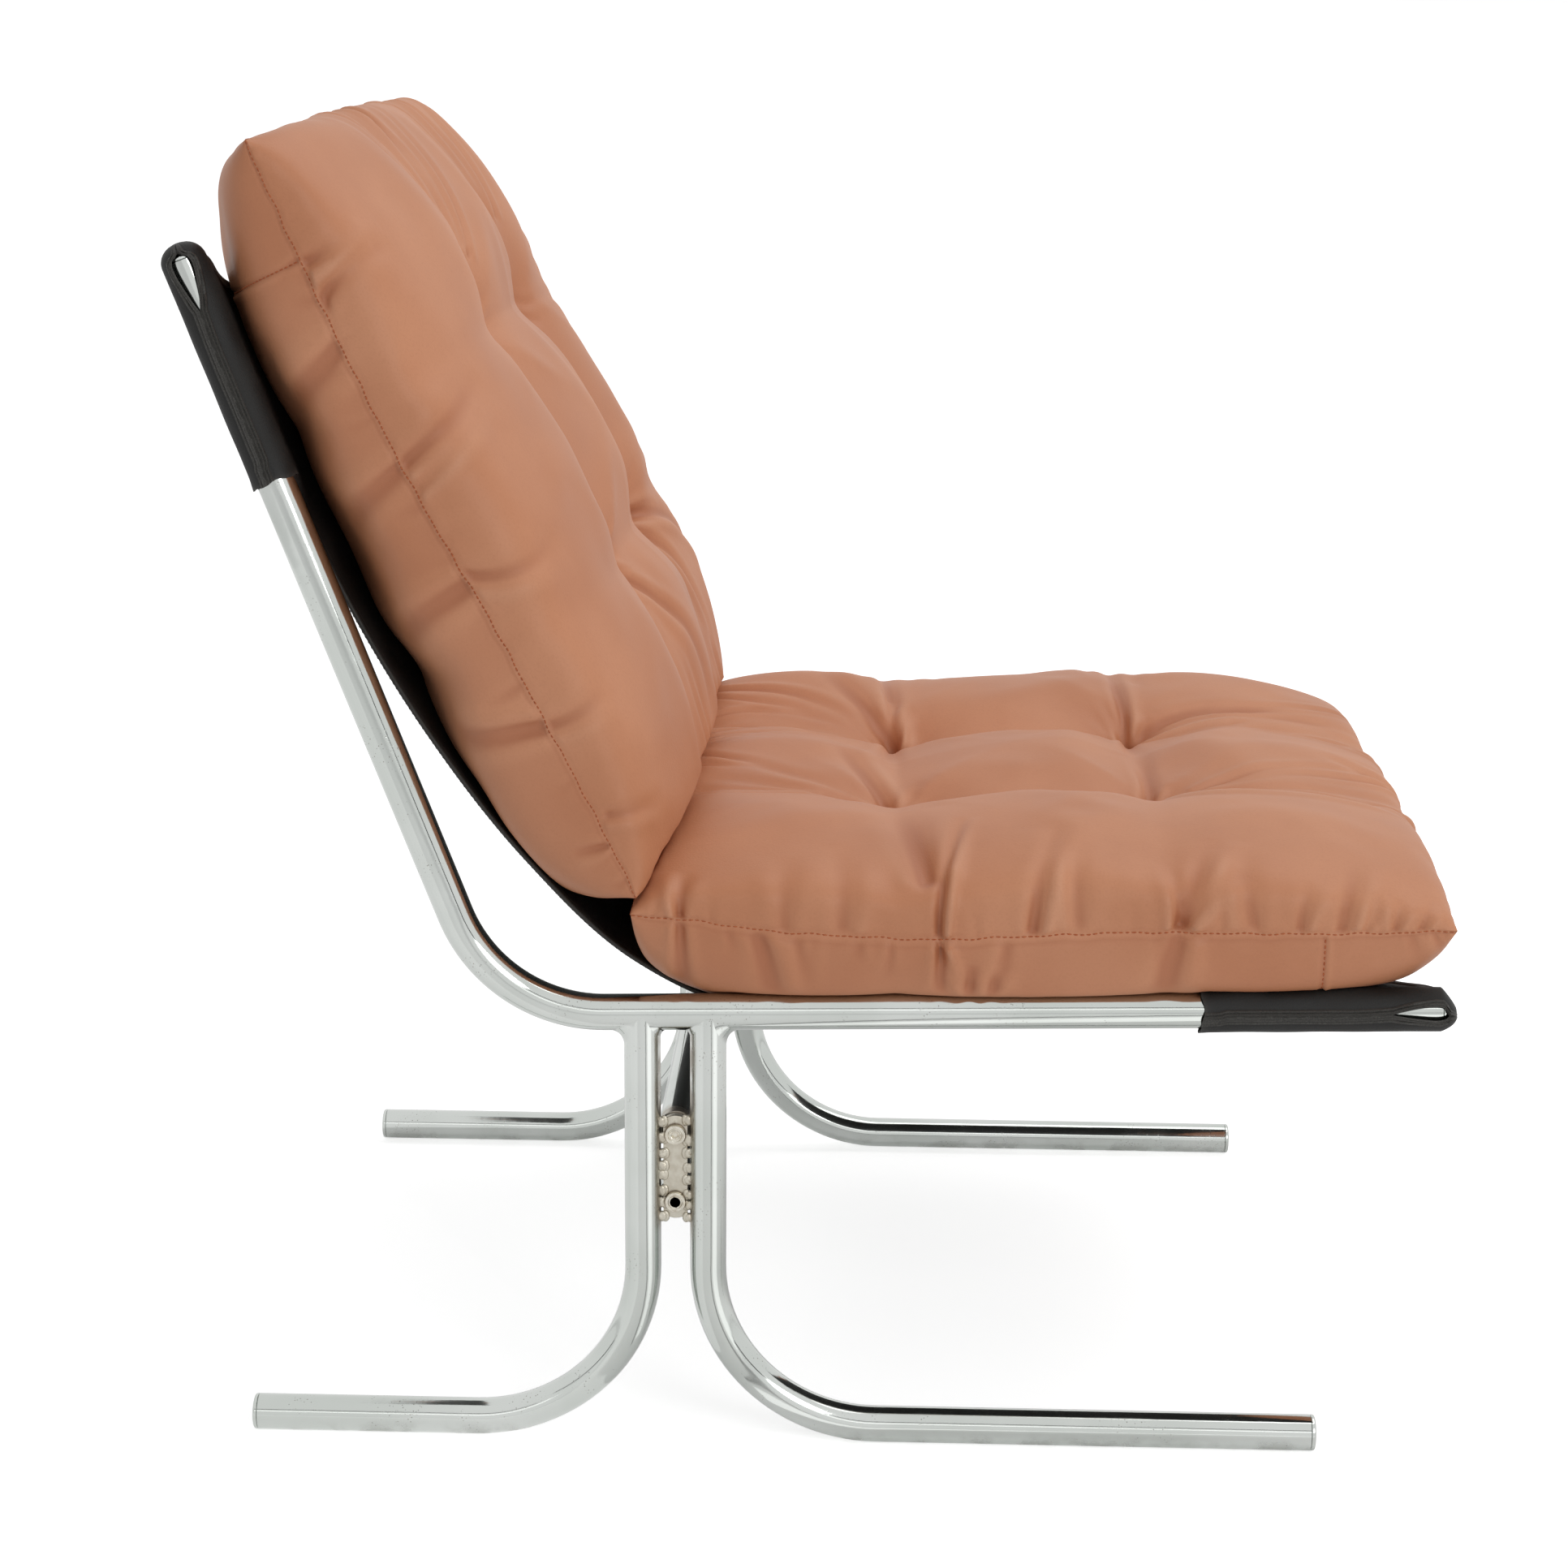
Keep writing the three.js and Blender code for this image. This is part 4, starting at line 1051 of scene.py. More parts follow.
def press_fold(moved, lines, path, depth, width, lean):
    """Presses one fold into a panel: a groove with a raised lip on each side, dying out along its path."""
    spots = np.array(path) * (lines[0][-1], lines[1][-1])
    if len(path) == 3:
        t = np.linspace(0, 1, 9)[:, None]
        ends = spots[0] * (2 * t - 1) * (t - 1) + spots[2] * t * (2 * t - 1)
        spots = ends + spots[1] * 4 * t * (1 - t)
    window = []
    for axis in (0, 1):
        low, high = spots[:, axis].min() - 5 * width, spots[:, axis].max() + 5 * width
        window.append(slice(*np.searchsorted(lines[axis], (low, high))))
    window = tuple(window)
    places = np.meshgrid(lines[0][window[0]], lines[1][window[1]], indexing="ij")
    best = np.full(places[0].shape, 1e9)
    pressed = np.zeros(places[0].shape)
    count = len(spots) - 1
    for number, (start, end) in enumerate(zip(spots, spots[1:])):
        long = np.linalg.norm(end - start)
        way = (end - start) / long
        offset = places[0] - start[0], places[1] - start[1]
        walked = offset[0] * way[0] + offset[1] * way[1]
        aside = offset[0] * way[1] - offset[1] * way[0]
        inside = np.clip(walked, 0, long)
        away = np.hypot(aside, walked - inside)
        share = (number + inside / long) / count
        spread = width * (0.75 + 0.6 * share)
        lips = bell(aside - 1.7 * spread, 1.1 * spread) * (1 + lean) / 2
        lips += bell(aside + 1.7 * spread, 1.1 * spread) * (1 - lean) / 2
        value = (1 - share) ** 0.7 * bell(walked - inside, spread) * (lips - bell(aside, spread)) * depth
        pressed = np.where(away < best, value, pressed)
        best = np.minimum(best, away)
    moved[window] += pressed


def fan_folds(tuft, seam, count, depth, width, seed):
    """Gathers of the upper panel that run from a stretch of seam towards a tuft, no two alike."""
    hands = random.Random(seed)
    folds = []
    for number in range(count):
        share = (number + hands.uniform(0.1, 0.9)) / count
        near = Vector(seam[0]).lerp(Vector(seam[1]), share)
        far = near.lerp(Vector(tuft), hands.uniform(0.55, 0.95))
        bow = (near + far) / 2 + Vector((hands.uniform(-0.03, 0.03), hands.uniform(-0.03, 0.03)))
        path = [tuple(near), tuple(bow), tuple(far)]
        if hands.random() < 0.35:
            path.reverse()
        deep, wide = depth * hands.uniform(0.5, 1), width * hands.uniform(0.7, 1.3)
        folds.append((0, deep, wide, hands.uniform(-0.6, 0.6), path))
    return folds


def tuft_creases(columns, seed):
    """Short creases that run out from each tuft like the spokes of a wheel, in both panels."""
    hands = random.Random(seed)
    folds = []
    tufts = [Vector((along, across)) for along in columns for across in (-0.295, 0.295)]
    for panel, tuft in ((panel, tuft) for panel in (0, 1) for tuft in tufts):
        turn = hands.uniform(0, 1)
        for number in range(8):
            angle = (number + turn + hands.uniform(-0.25, 0.25)) * math.pi / 4
            way = Vector((math.cos(angle), math.sin(angle)))
            path = [tuple(tuft + way * 0.014), tuple(tuft + way * hands.uniform(0.06, 0.16))]
            deep, wide = CREASE_DEPTH * hands.uniform(0.4, 1), hands.uniform(0.0028, 0.0045)
            folds.append((panel, deep, wide, hands.uniform(-0.6, 0.6), path))
    return folds


def seam_puckers(seed, depth):
    """Small puckers on both sides of the seam, where the stitches draw the leather in."""
    hands = random.Random(seed)
    folds = []
    for edge in range(4):
        place = -0.95
        while place < 0.95:
            place += hands.uniform(0.035, 0.11)
            long = hands.uniform(0.03, 0.10)
            ends = [(place, -1.0), (place + hands.uniform(-0.02, 0.03), -1 + long)]
            if edge % 2:
                ends = [(a, -c) for a, c in ends]
            if edge > 1:
                ends = [(c, a) for a, c in ends]
            deep, panel = depth * hands.uniform(0.3, 1), hands.randrange(2)
            folds.append((panel, deep, hands.uniform(0.0028, 0.0052), hands.uniform(-0.7, 0.7), ends))
    return folds


def outward_ways(points, up, side):
    """The way out of a panel at each of its points: up from the upper one, down from the lower one."""
    ways = np.cross(np.gradient(points, axis=0), np.gradient(points, axis=1))
    ways /= np.maximum(1e-9, np.linalg.norm(ways, axis=-1, keepdims=True))
    middle = ways[points.shape[0] // 2, points.shape[1] // 2]
    return ways if middle @ np.array(up) * side > 0 else -ways


def fold_panel(pad, which, points, lines, from_seam):
    """Presses a panel's folds and seam grooves in. Gives back the panel and how far it moved outwards."""
    moved = np.zeros(points.shape[:2])
    for panel, depth, width, lean, path in pad["folds"]:
        if panel == which:
            press_fold(moved, lines, path, depth, width, lean)
    moved *= np.clip(from_seam / 0.004, 0, 1)
    if which == 1:
        moved *= slack(pad, points)
        press_fold(moved, lines, pad["pieced"], PIECING_DEPTH, PIECING_WIDTH, 0.8)
        press_fold(moved, lines, pad["pieced"][::-1], PIECING_DEPTH, PIECING_WIDTH, -0.8)
    moved -= GROOVE_DEPTH * bell(from_seam, GROOVE_WIDTH) * np.clip(from_seam / 0.001, 0, 1)
    return points + outward_ways(points, pad["up"], (1, -1)[which]) * moved[..., None], moved


def tan_leather():
    """Smooth aniline hide: warm tan, with painted highlight on the raised lips of folds, and painted shade,
    redder and darker, in the folds, the seam grooves and over the lower panel.
    """
    material, tree = new_material("tan_leather")
    cloud = mottle(tree, 7, 6)
    hollow = add(tree, "ShaderNodeAttribute", {}, "Fac", attribute_name="hollow")
    colour = blend(tree, ramp(tree, cloud, 0.32, 0.68), (0.505, 0.207, 0.102), (0.580, 0.259, 0.139))
    # Painted shade in folds and grooves and over the lower panel, and painted highlight on raised lips.
    colour = blend(tree, ramp(tree, hollow, -0.25, -3.0, 0, 0.62), colour, (0.38, 0.128, 0.058))
    colour = blend(tree, ramp(tree, hollow, 0.4, 3.0, 0, 0.3), colour, (0.64, 0.335, 0.205))
    colour = blend(tree, ramp(tree, mottle(tree, 600, 4), 0.45, 0.75, 0, 0.16), colour, (0.42, 0.16, 0.08))
    grain = reckon(tree, "ADD", specks(tree, 620), times(tree, specks(tree, 1500), 0.5))
    rough = ramp(tree, cloud, 0.3, 0.7, 0.46, 0.56)
    return dress(material, colour, rough, (grain, 0.16, 0.0004), Specular_IOR_Level=0.36)


def rust_thread():
    material, tree = new_material("rust_thread")
    twist = ramp(tree, mottle(tree, 900), 0.35, 0.65)
    return dress(material, blend(tree, twist, (0.33, 0.072, 0.018), (0.47, 0.125, 0.038)), 0.75)


def sew_seam(pad, panels, pitch, length):
    """Stitches along the seam all round a cushion."""
    upper, lower = panels
    middle = (upper.reshape(-1, 3).mean(0) + lower.reshape(-1, 3).mean(0)) / 2
    border = [(0, slice(None)), (slice(None), -1), (-1, slice(None, None, -1)), (slice(None, None, -1), 0)]
    ring = np.concatenate([upper[where][:-1] for where in border] + [upper[:1, 0]])
    up = np.array(pad["up"])
    outward = ring - middle
    outward -= up * (outward @ up)[:, None]
    bm = bmesh.new()
    stitch_run(bm, ring, outward, pitch, length, 0.00048, 0.00024)
    keep(bm, f"{pad['name']}_seam_stitches", thread, "cushion_leather")


def sew_across(pad, lower, pitch, length):
    """Stitches where the lower panel is pieced together from two skins."""
    rows, columns = lower.shape[:2]
    outward = outward_ways(lower, pad["up"], -1)
    ends = np.array(pad["pieced"])
    steps = np.linspace(0.004, 0.996, columns)[:, None]
    row, column = ((ends[0] * (1 - steps) + ends[-1] * steps + 1) / 2 * (rows - 1, columns - 1)).T
    column = np.clip(np.rint(column), 0, columns - 1).astype(int)
    first = np.floor(row).astype(int)
    part = (row - first)[:, None]
    path, away = (
        field[first, column] * (1 - part) + field[first + 1, column] * part for field in (lower, outward)
    )
    bm = bmesh.new()
    stitch_run(bm, path + away * 0.0001, away, pitch, length, 0.00042, 0.00022)
    keep(bm, f"{pad['name']}_piecing_stitches", thread, "cushion_leather")


def make_pad(pad, seam_stitch, piecing_stitch):
    """Makes one cushion: formed, blown up, refined, folded, settled on what it lies on, and sewn."""
    along, reach_along = even_shares(pad["length"] / 2, pad["crown"], COARSE_ROWS)
    across, reach_across = even_shares(CUSHION_HALF, pad["crown"], COARSE_COLUMNS)
    grid = np.meshgrid(along, across, indexing="ij")
    panels = settle(pad, [panel_points(pad, height, *grid) for height in (pad["crown"], -pad["belly"])])
    panels = wrinkled(pad, panels, grid)
    panels = [finer(finer(points)) for points in panels]
    rows, columns = panels[0].shape[:2]
    lines = np.linspace(-reach_along, reach_along, rows), np.linspace(-reach_across, reach_across, columns)
    places = np.meshgrid(*lines, indexing="ij")
    from_seam = np.minimum(reach_along - np.abs(places[0]), reach_across - np.abs(places[1]))
    folded = [fold_panel(pad, which, points, lines, from_seam) for which, points in enumerate(panels)]
    panels = settle(pad, [points for points, _ in folded])
    # Fold depths become painted shade and highlight; the lower panel is set 1.3 lower, painting it darker
    # all over as shade under the cushion.
    fold_shading = folded[0][1] * 1000, folded[1][1] * 1000 - 1.3
    piece = sewn_piece(pad["name"], panels, leather, pad["node"], "hollow", fold_shading)
    sew_seam(pad, panels, *seam_stitch)
    sew_across(pad, panels[1], *piecing_stitch)


leather = tan_leather()
thread = rust_thread()
supports = support_tree()

# The seat's folds: panel (0 above, 1 below), depth, width, lean, and the path from its deep end on.
seat_folds = [
    (0, 0.0050, 0.0060, -0.5, [(-0.80, -1.0), (-0.79, -0.93), (-0.775, -0.84)]),
    (1, 0.0040, 0.0060, -0.4, [(-0.80, -1.0), (-0.79, -0.92), (-0.78, -0.84)]),
    (0, 0.0022, 0.0080, 0.0, [(-0.545, -0.99), (-0.545, -0.90), (-0.54, -0.80)]),
    (1, 0.0036, 0.0075, 0.4, [(-0.60, -0.99), (-0.575, -0.93), (-0.55, -0.84)]),
    (0, 0.0048, 0.0110, 0.2, [(-0.243, -0.86), (-0.272, -0.70), (-0.30, -0.52)]),
    (0, 0.0058, 0.0036, 0.9, [(-0.215, -1.0), (-0.205, -0.86), (-0.165, -0.62)]),
    (1, 0.0060, 0.0036, 0.3, [(-0.215, -1.0), (-0.212, -0.95), (-0.208, -0.90)]),
    (1, 0.0036, 0.0034, 0.4, [(-0.213, -1.0), (-0.195, -0.96), (-0.180, -0.925)]),
    (1, 0.0058, 0.0046, 0.2, [(-0.150, -0.905), (-0.147, -0.935), (-0.145, -0.97)]),
    (1, 0.0050, 0.0044, -0.2, [(-0.105, -0.90), (-0.10, -0.925), (-0.10, -0.955)]),
    (0, 0.0042, 0.0062, 0.7, [(-0.018, -1.0), (0.0, -0.88), (0.04, -0.68)]),
    (0, 0.0024, 0.0085, -0.5, [(0.078, -0.98), (0.065, -0.84), (0.055, -0.70)]),
    (0, 0.0040, 0.0066, 0.8, [(0.285, -1.0), (0.32, -0.90), (0.37, -0.74)]),
    (0, 0.0030, 0.0045, -0.6, [(0.283, -1.0), (0.285, -0.93), (0.265, -0.82)]),
    (0, 0.0026, 0.0050, 0.5, [(0.29, -1.0), (0.345, -0.93), (0.42, -0.86)]),
    (1, 0.0036, 0.0080, 0.4, [(0.29, -1.0), (0.27, -0.93), (0.24, -0.84)]),
    (0, 0.0034, 0.0050, 0.5, [(0.545, -1.0), (0.55, -0.95), (0.57, -0.88)]),
    (0, 0.0040, 0.0075, 0.6, [(0.635, -1.0), (0.65, -0.92), (0.68, -0.78)]),
    (0, 0.0032, 0.0045, 0.5, [(0.69, -1.0), (0.70, -0.96), (0.715, -0.90)]),
    (0, 0.0030, 0.0045, 0.4, [(0.765, -1.0), (0.77, -0.96), (0.775, -0.90)]),
    (0, 0.0028, 0.0060, 0.5, [(0.84, -1.0), (0.85, -0.95), (0.87, -0.86)]),
    (0, 0.0026, 0.0080, -0.3, [(0.44, -0.98), (0.43, -0.90), (0.42, -0.78)]),
    (0, 0.0024, 0.0090, 0.3, [(-0.42, -0.98), (-0.42, -0.88), (-0.44, -0.74)]),
    (0, 0.0060, 0.0090, 0.6, [(-0.31, 0.30), (-0.39, 0.42), (-0.52, 0.62)]),
    (0, 0.0050, 0.0080, 0.6, [(-0.31, -0.30), (-0.38, -0.14), (-0.46, 0.04)]),
    (0, 0.0070, 0.0065, 0.5, [(0.27, -0.30), (0.52, -0.37), (0.86, -0.34)]),
    (0, 0.0040, 0.0060, -0.3, [(0.95, -0.30), (0.84, -0.32), (0.70, -0.38)]),
    (0, 0.0050, 0.0085, 0.5, [(0.27, 0.30), (0.48, 0.38), (0.80, 0.38)]),
    (0, 0.0048, 0.0055, 0.5, [(0.27, 0.31), (0.258, 0.52), (0.24, 0.84)]),
    (0, 0.0044, 0.0060, 0.4, [(-0.31, 0.31), (-0.325, 0.52), (-0.35, 0.80)]),
    (0, 0.0040, 0.0055, 0.5, [(0.27, 0.28), (0.262, 0.14), (0.27, -0.02)]),
    (0, 0.0040, 0.0055, -0.4, [(0.27, -0.28), (0.280, -0.14), (0.27, 0.02)]),
    (0, 0.0038, 0.0060, 0.4, [(-0.31, 0.28), (-0.322, 0.14), (-0.32, -0.04)]),
    (0, 0.0032, 0.0055, 0.5, [(0.96, 0.10), (0.84, 0.16), (0.66, 0.22)]),
    (0, 0.0032, 0.0055, 0.5, [(0.96, -0.12), (0.85, -0.10), (0.70, -0.04)]),
]
seat_folds += fan_folds((-0.31, 0.30), ((-0.80, 0.02), (-0.80, 0.55)), 7, 0.0034, 0.0050, 3)
seat_folds += fan_folds((-0.31, -0.30), ((-0.80, -0.40), (-0.80, -0.05)), 5, 0.0030, 0.0050, 4)
seat_folds += fan_folds((0.27, 0.30), ((0.93, 0.05), (0.93, 0.60)), 7, 0.0026, 0.0046, 5)
seat_folds += fan_folds((0.27, -0.30), ((0.93, -0.45), (0.93, -0.05)), 6, 0.0028, 0.0046, 6)
seat_folds += fan_folds((0.27, 0.30), ((0.10, 0.95), (0.50, 0.95)), 5, 0.0008, 0.0070, 7)
seat_folds += fan_folds((-0.31, 0.30), ((-0.50, 0.95), (-0.10, 0.95)), 5, 0.0008, 0.0070, 8)
seat_folds += tuft_creases((-0.31, 0.27), 12)
seat_folds += seam_puckers(11, 0.0016)
seat = {
    "name": "seat_pad", "node": "seat_cushion", "side": 1, "folds": seat_folds, "rest": (rail_end, front_up),
    "start": (LEGS_X - 0.029, 0, RAIL_HEIGHT + 0.0705), "ahead": (1, 0, 0), "up": (0, 0, 1),
    "length": 0.55, "crown": 0.084, "belly": 0.092, "hollow": 0.010, "tuft_shift": 0.025, "rear_fill": 0.006,
    "seam_drop": [
        (-1, -0.001), (-0.88, 0.0012), (-0.66, 0.0085), (-0.46, 0.0115), (-0.27, 0.0128), (-0.05, 0.0092),
        (0.18, 0.0055), (0.5, 0.0048), (0.8, 0.003), (1, 0),
    ],
    "end_powers": (6.0, 2.8), "side_powers": [(-1, 8), (1, 8)],
    "sat_in": [
        (-1, 0), (-0.8, 0.001), (-0.55, 0.005), (-0.33, 0.009), (0, 0.009), (0.33, 0.010), (0.55, 0.002),
        (0.75, -0.002), (1, 0),
    ],
    "pieced": [(0.60, -1.0), (0.61, 1.0)],
}
make_pad(seat, (0.0043, 0.0033), (0.0040, 0.0028))


# Back cushion: made as the seat cushion is, standing on it and leaning on the sling.
# Its folds run up from the seam at a slant, because it sags a little under its own weight.
BACK_TILT = math.radians(26.4)
BACK_LENGTH = 0.552
back_down = ahead(BACK_TILT - math.pi / 2)
back_start = Vector((LEGS_X - 0.025, 0, RAIL_HEIGHT + 0.0845)) - back_down * BACK_LENGTH
back_folds = [
    (0, 0.0042, 0.0070, 0.6, [(-0.60, -1.0), (-0.60, -0.93), (-0.62, -0.85)]),
    (0, 0.0050, 0.0065, -0.6, [(-0.505, -1.0), (-0.55, -0.93), (-0.56, -0.78)]),
    (0, 0.0045, 0.0080, 0.5, [(-0.15, -1.0), (-0.19, -0.87), (-0.24, -0.70)]),
    (0, 0.0034, 0.0060, 0.5, [(-0.10, -1.0), (-0.14, -0.90), (-0.18, -0.78)]),
    (0, 0.0036, 0.0075, 0.5, [(0.10, -1.0), (0.14, -0.90), (0.12, -0.76)]),
    (0, 0.0034, 0.0070, 0.4, [(0.455, -1.0), (0.46, -0.93), (0.44, -0.84)]),
    (1, 0.0044, 0.0070, -0.4, [(0.455, -1.0), (0.43, -0.92), (0.40, -0.80)]),
    (1, 0.0030, 0.0080, -0.3, [(-0.15, -1.0), (-0.12, -0.90), (-0.08, -0.78)]),
    (1, 0.0034, 0.0080, -0.3, [(0.12, -1.0), (0.14, -0.90), (0.18, -0.78)]),
    (1, 0.0034, 0.0090, -0.3, [(-0.42, -1.0), (-0.38, -0.90), (-0.33, -0.76)]),
    (0, 0.0026, 0.0060, 0.4, [(0.69, -0.97), (0.71, -0.90), (0.73, -0.80)]),
    (1, 0.0034, 0.0040, 0.4, [(0.765, -1.0), (0.755, -0.97), (0.74, -0.93)]),
    (0, 0.0036, 0.0060, 0.5, [(0.28, 0.29), (0.52, 0.40), (0.80, 0.42)]),
    (0, 0.0040, 0.0070, 0.4, [(0.27, 0.29), (0.36, 0.52), (0.52, 0.72)]),
    (0, 0.0040, 0.0070, 0.4, [(0.28, -0.29), (0.50, -0.14), (0.76, -0.06)]),
]
back_folds += fan_folds((-0.30, -0.29), ((-0.93, -0.55), (-0.93, -0.02)), 9, 0.0028, 0.0046, 21)
back_folds += fan_folds((-0.30, 0.29), ((-0.93, 0.05), (-0.93, 0.60)), 8, 0.0024, 0.0046, 22)
back_folds += fan_folds((0.27, -0.29), ((0.90, -0.50), (0.90, -0.05)), 5, 0.0022, 0.0052, 23)
back_folds += fan_folds((0.27, 0.29), ((0.90, 0.05), (0.90, 0.55)), 5, 0.0020, 0.0052, 24)
back_folds += fan_folds((0.27, 0.29), ((0.10, 0.95), (0.50, 0.95)), 4, 0.0010, 0.0070, 25)
back_folds += fan_folds((-0.30, 0.29), ((-0.50, 0.95), (-0.10, 0.95)), 4, 0.0010, 0.0070, 26)
back_folds += tuft_creases((-0.30, 0.27), 32)
back_folds += seam_puckers(31, 0.0011)
back = {
    "name": "back_pad", "node": "back_cushion", "side": -1, "folds": back_folds,
    "rest": (upright_end, back_up),
    "start": tuple(back_start), "ahead": tuple(back_down), "up": tuple(ahead(BACK_TILT)),
    "length": BACK_LENGTH, "crown": 0.090, "belly": 0.105, "hollow": 0.0, "tuft_shift": 0.015,
    "rear_fill": 0.0,
    "seam_drop": [
        (-1, 0.0005), (-0.69, 0.0043), (-0.44, 0.0067), (-0.19, 0.0072), (0.02, 0.0052), (0.23, 0.0018),
        (0.39, 0.001), (0.53, 0.0005), (0.68, -0.0003), (1, 0),
    ],
    "end_powers": (3.6, 6.0),
    "side_powers": [
        (-1, 3.6), (-0.6, 3.1), (-0.28, 3.0), (0, 2.7), (0.14, 3.4), (0.26, 3.6), (0.42, 3.5), (0.6, 3.8),
        (0.8, 4.5), (1, 4.5),
    ],
    "sat_in": [(-1, 0), (-0.33, 0.002), (0.33, 0.004), (1, 0)],
    "pieced": [(-0.61, -1.0), (-0.61, 1.0)],
}
make_pad(back, (0.0036, 0.0029), (0.0034, 0.0027))


# Camera, at the photograph's angle.
# It stands on the chair's right, a little above the seat, and looks slightly down.
CAMERA_PLACE = Vector((0.03816, -2.30690, 0.98337))
CAMERA_YAW = -0.031160
CAMERA_PITCH = 0.247280
CAMERA_ROLL = -0.0068793

camera_data = bpy.data.cameras.new("camera")
camera_data.lens = 71.764
camera_data.sensor_width = 36
camera = in_scene("camera", camera_data)
forward = Vector((
    math.sin(CAMERA_YAW) * math.cos(CAMERA_PITCH), math.cos(CAMERA_YAW) * math.cos(CAMERA_PITCH),
    -math.sin(CAMERA_PITCH),
))
level = Vector((math.cos(CAMERA_YAW), -math.sin(CAMERA_YAW), 0))
down = forward.cross(level)
right_way = math.cos(CAMERA_ROLL) * level + math.sin(CAMERA_ROLL) * down
down_way = math.cos(CAMERA_ROLL) * down - math.sin(CAMERA_ROLL) * level
turned = Matrix((right_way, -down_way, -forward)).transposed().to_4x4()
camera.matrix_world = Matrix.Translation(CAMERA_PLACE) @ turned
bpy.context.scene.camera = camera


# Studio: a plain pale floor and an even white surround, which look white to the camera and in the chrome.
# A broad soft lamp hangs overhead and a weaker one stands beside the camera.
# The cards and flags round the chair show only in the chrome: they paint its bright streaks and dark lines
# as reflections, and they light and shade nothing.
CARD_SPREAD = 3.0
CARD_START = 0.06
CARD_LIFT = 0.0004


def seen_directly(tree):
    """1 for camera, glossy and transmission rays, and 0 for the rays that light the chair."""
    kinds = ("Is Camera Ray", "Is Glossy Ray", "Is Transmission Ray")
    straight, glossy, through = (add(tree, "ShaderNodeLightPath", {}, kind) for kind in kinds)
    return reckon(tree, "MAXIMUM", reckon(tree, "MAXIMUM", straight, glossy), through)


world = bpy.data.worlds.new("studio")
bpy.context.scene.world = world
world.use_nodes = True
background = world.node_tree.nodes["Background"]
strength = ramp(world.node_tree, seen_directly(world.node_tree), 0, 1, 0.50, 1.0)
fill(world.node_tree, background.inputs["Strength"], strength)
background.inputs["Color"].default_value = (1, 1, 1, 1)


def soft_lamp(name, place, target, size, power):
    data = bpy.data.lights.new(name, "AREA")
    data.shape = "DISK"
    data.size = size
    data.energy = power
    lamp = in_scene(name, data)
    lamp.location = place
    lamp.rotation_euler = (Vector(target) - Vector(place)).to_track_quat("-Z", "Y").to_euler()


soft_lamp("top_lamp", (1.1, 0.4, 3.1), (0, 0, 0.4), 2.4, 24)
soft_lamp("side_lamp", (2.0, -3.0, 2.0), (0, 0, 0.45), 1.8, 31)


def flat_square(name, size, material):
    """Four corners of a flat studio part, in a mesh that place_square shows once they are moved."""
    bm = bmesh.new()
    bmesh.ops.create_grid(bm, x_segments=1, y_segments=1, size=size)
    mesh = bpy.data.meshes.new(name)
    mesh.materials.append(material)
    return bm, mesh


def place_square(bm, mesh, mirrored_only=True):
    """Shows a flat studio part. A card is seen by mirrors only, and the floor by all."""
    bm.to_mesh(mesh)
    bm.free()
    made = in_scene(mesh.name, mesh)
    if mirrored_only:
        made.visible_camera = made.visible_diffuse = made.visible_shadow = made.visible_transmission = False
    return made


def upright_card(name, place, size, facing_way, cloth):
    bm, mesh = flat_square(name, 0.5, cloth)
    bmesh.ops.scale(bm, verts=bm.verts, vec=(*size, 1))
    bmesh.ops.transform(bm, verts=bm.verts, matrix=facing(Vector(place), Vector(facing_way).normalized()))
    place_square(bm, mesh)


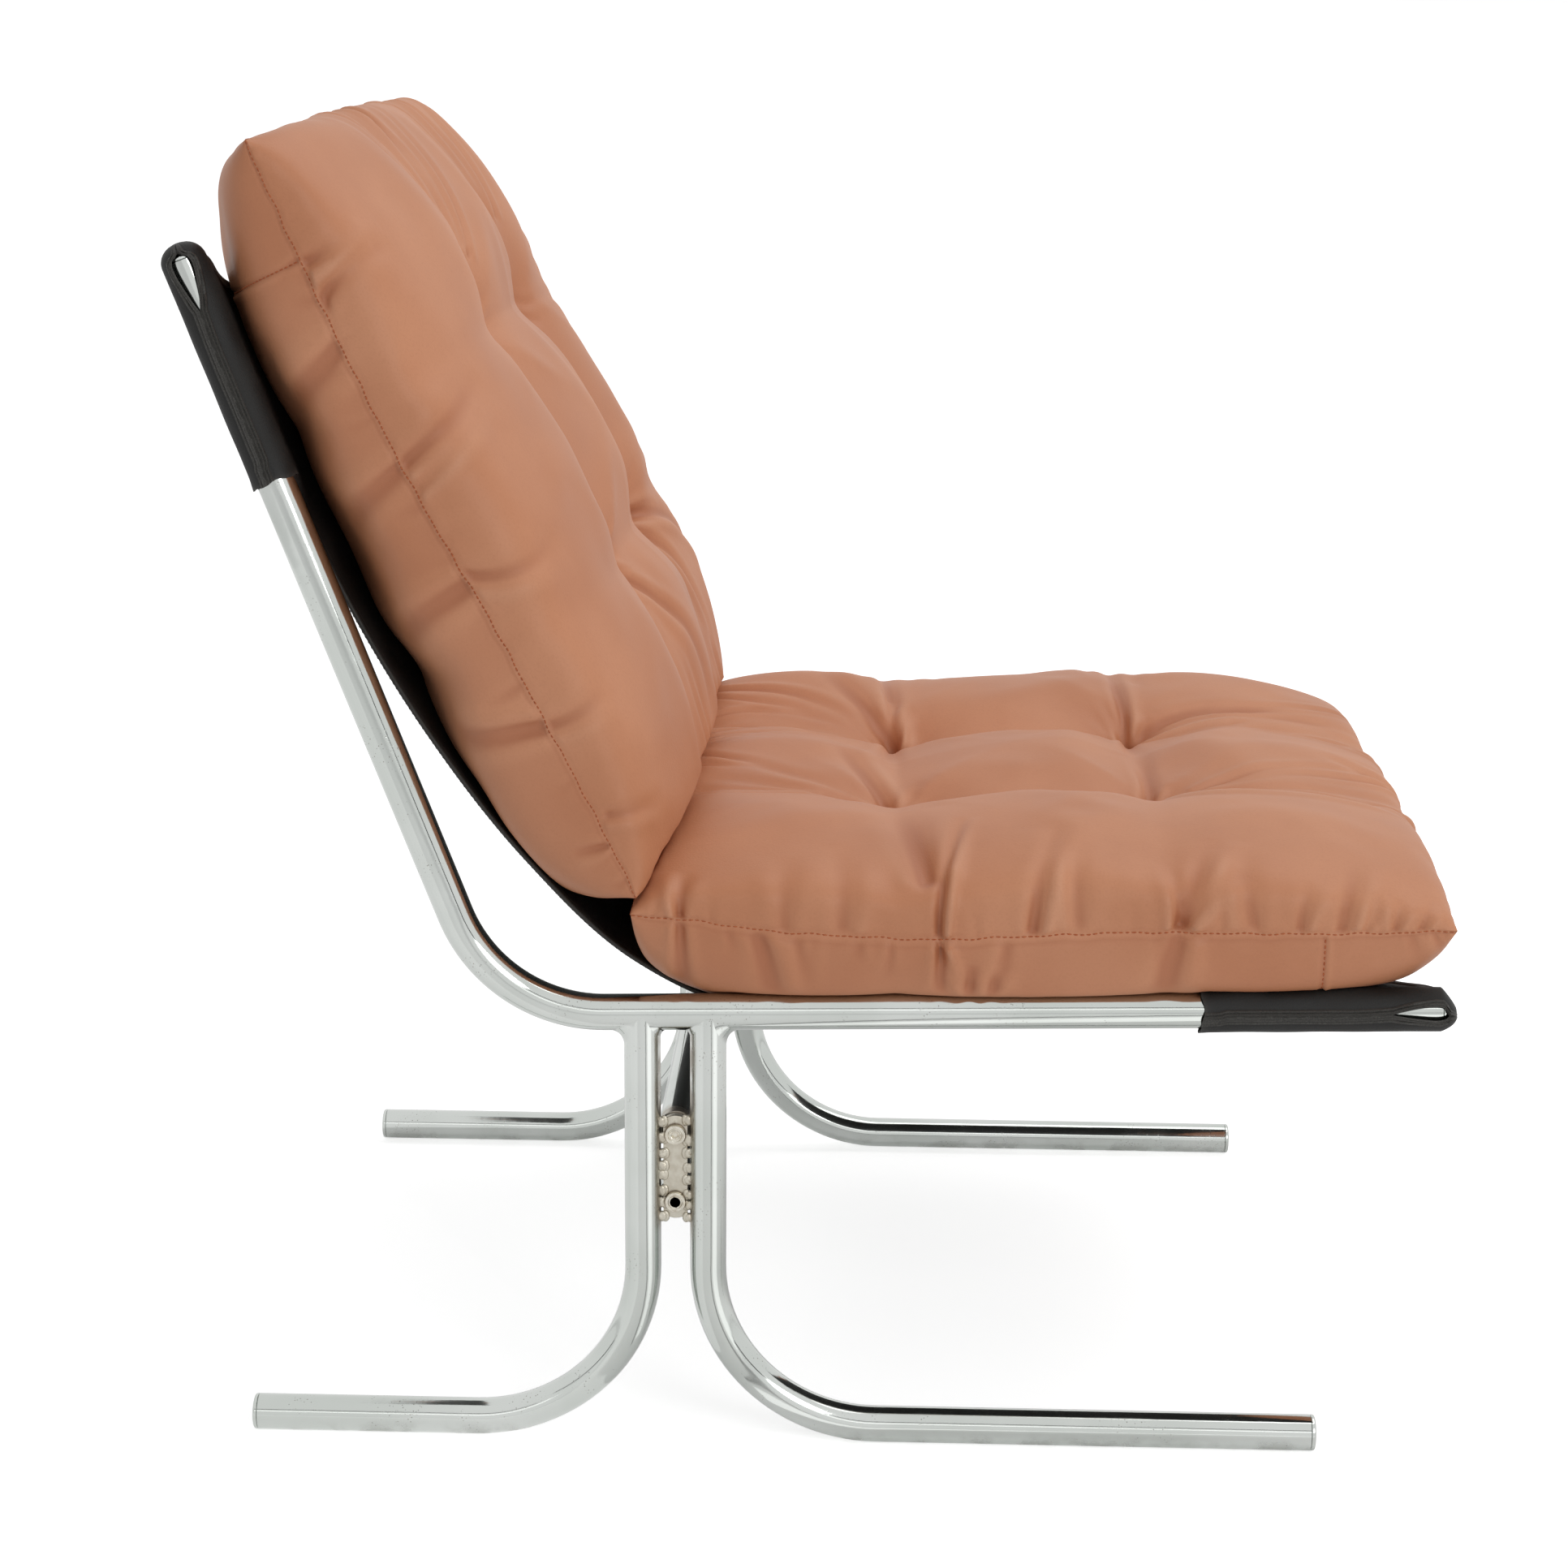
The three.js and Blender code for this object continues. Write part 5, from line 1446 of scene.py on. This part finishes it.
def floor_card(name, first, last, cloth):
    """A wedge on the floor, spreading from the legs between two angles off the way to the camera."""
    bm, mesh = flat_square(name, 1, cloth)
    for v in bm.verts:
        angle = math.radians(last if v.co.x > 0 else first)
        reach = CARD_SPREAD if v.co.y > 0 else CARD_START
        v.co = (LEGS_X + math.sin(angle) * reach, -SIDE_Y - math.cos(angle) * reach, CARD_LIFT)
    place_square(bm, mesh)


# Cloth of a card: it glows without being a lamp, and paints highlights or dark lines into the chrome only.
def card_cloth(name, tone, glow):
    material, tree = new_material(name)
    colour = blend(tree, mottle(tree, 4), (tone, tone, tone), (1.3 * tone, 1.3 * tone, 1.3 * tone))
    return dress(material, colour, 1.0, Emission_Color=(1, 1, 1, 1), Emission_Strength=glow)


def pale_floor():
    """Matt white sweep. It glows to the eye, and a little less in mirrors, and lights nothing."""
    material, tree = new_material("pale_floor")
    colour = blend(tree, mottle(tree, 3, 4), (0.92, 0.92, 0.92), (0.94, 0.94, 0.94))
    glossy = times(tree, add(tree, "ShaderNodeLightPath", {}, "Is Glossy Ray"), 0.36)
    glow = reckon(tree, "SUBTRACT", times(tree, seen_directly(tree), 0.62), glossy)
    return dress(
        material, colour, 0.9, Specular_IOR_Level=0.1, Emission_Color=(1, 1, 1, 1), Emission_Strength=glow
    )


dark_cloth = card_cloth("dark_card_cloth", 0.02, 0.0)
grey_cloth = card_cloth("grey_card_cloth", 0.3, 0.1)
pale_cloth = card_cloth("pale_card_cloth", 0.4, 0.72)
soft_cloth = card_cloth("soft_card_cloth", 0.7, 0.85)
bright_cloth = card_cloth("bright_card_cloth", 0.7, 1.4)
upright_card("left_dark_reflection_card", (-4.6, -3.4, 1.6), (0.35, 4.2), (1, 0.75, 0), dark_cloth)
upright_card("right_dark_reflection_card", (4.2, -4.4, 1.6), (0.5, 4.2), (-1, 1, 0), dark_cloth)
upright_card("low_dark_reflection_card", (0.0, -6.5, 4.3), (9.0, 0.42), (0, 1, 0), dark_cloth)
upright_card("high_bright_reflection_strip", (0.0, -6.5, 2.9), (9.0, 0.55), (0, 1, 0), bright_cloth)
floor_card("floor_strip", 34, 60, soft_cloth)
floor_card("floor_line", 21, 26, grey_cloth)
floor_card("floor_side", -150, -28, pale_cloth)
floor = place_square(*flat_square("studio_floor", 1500, pale_floor()), mirrored_only=False)
floor.location.z = -0.0003

bpy.context.scene.view_settings.view_transform = "Standard"
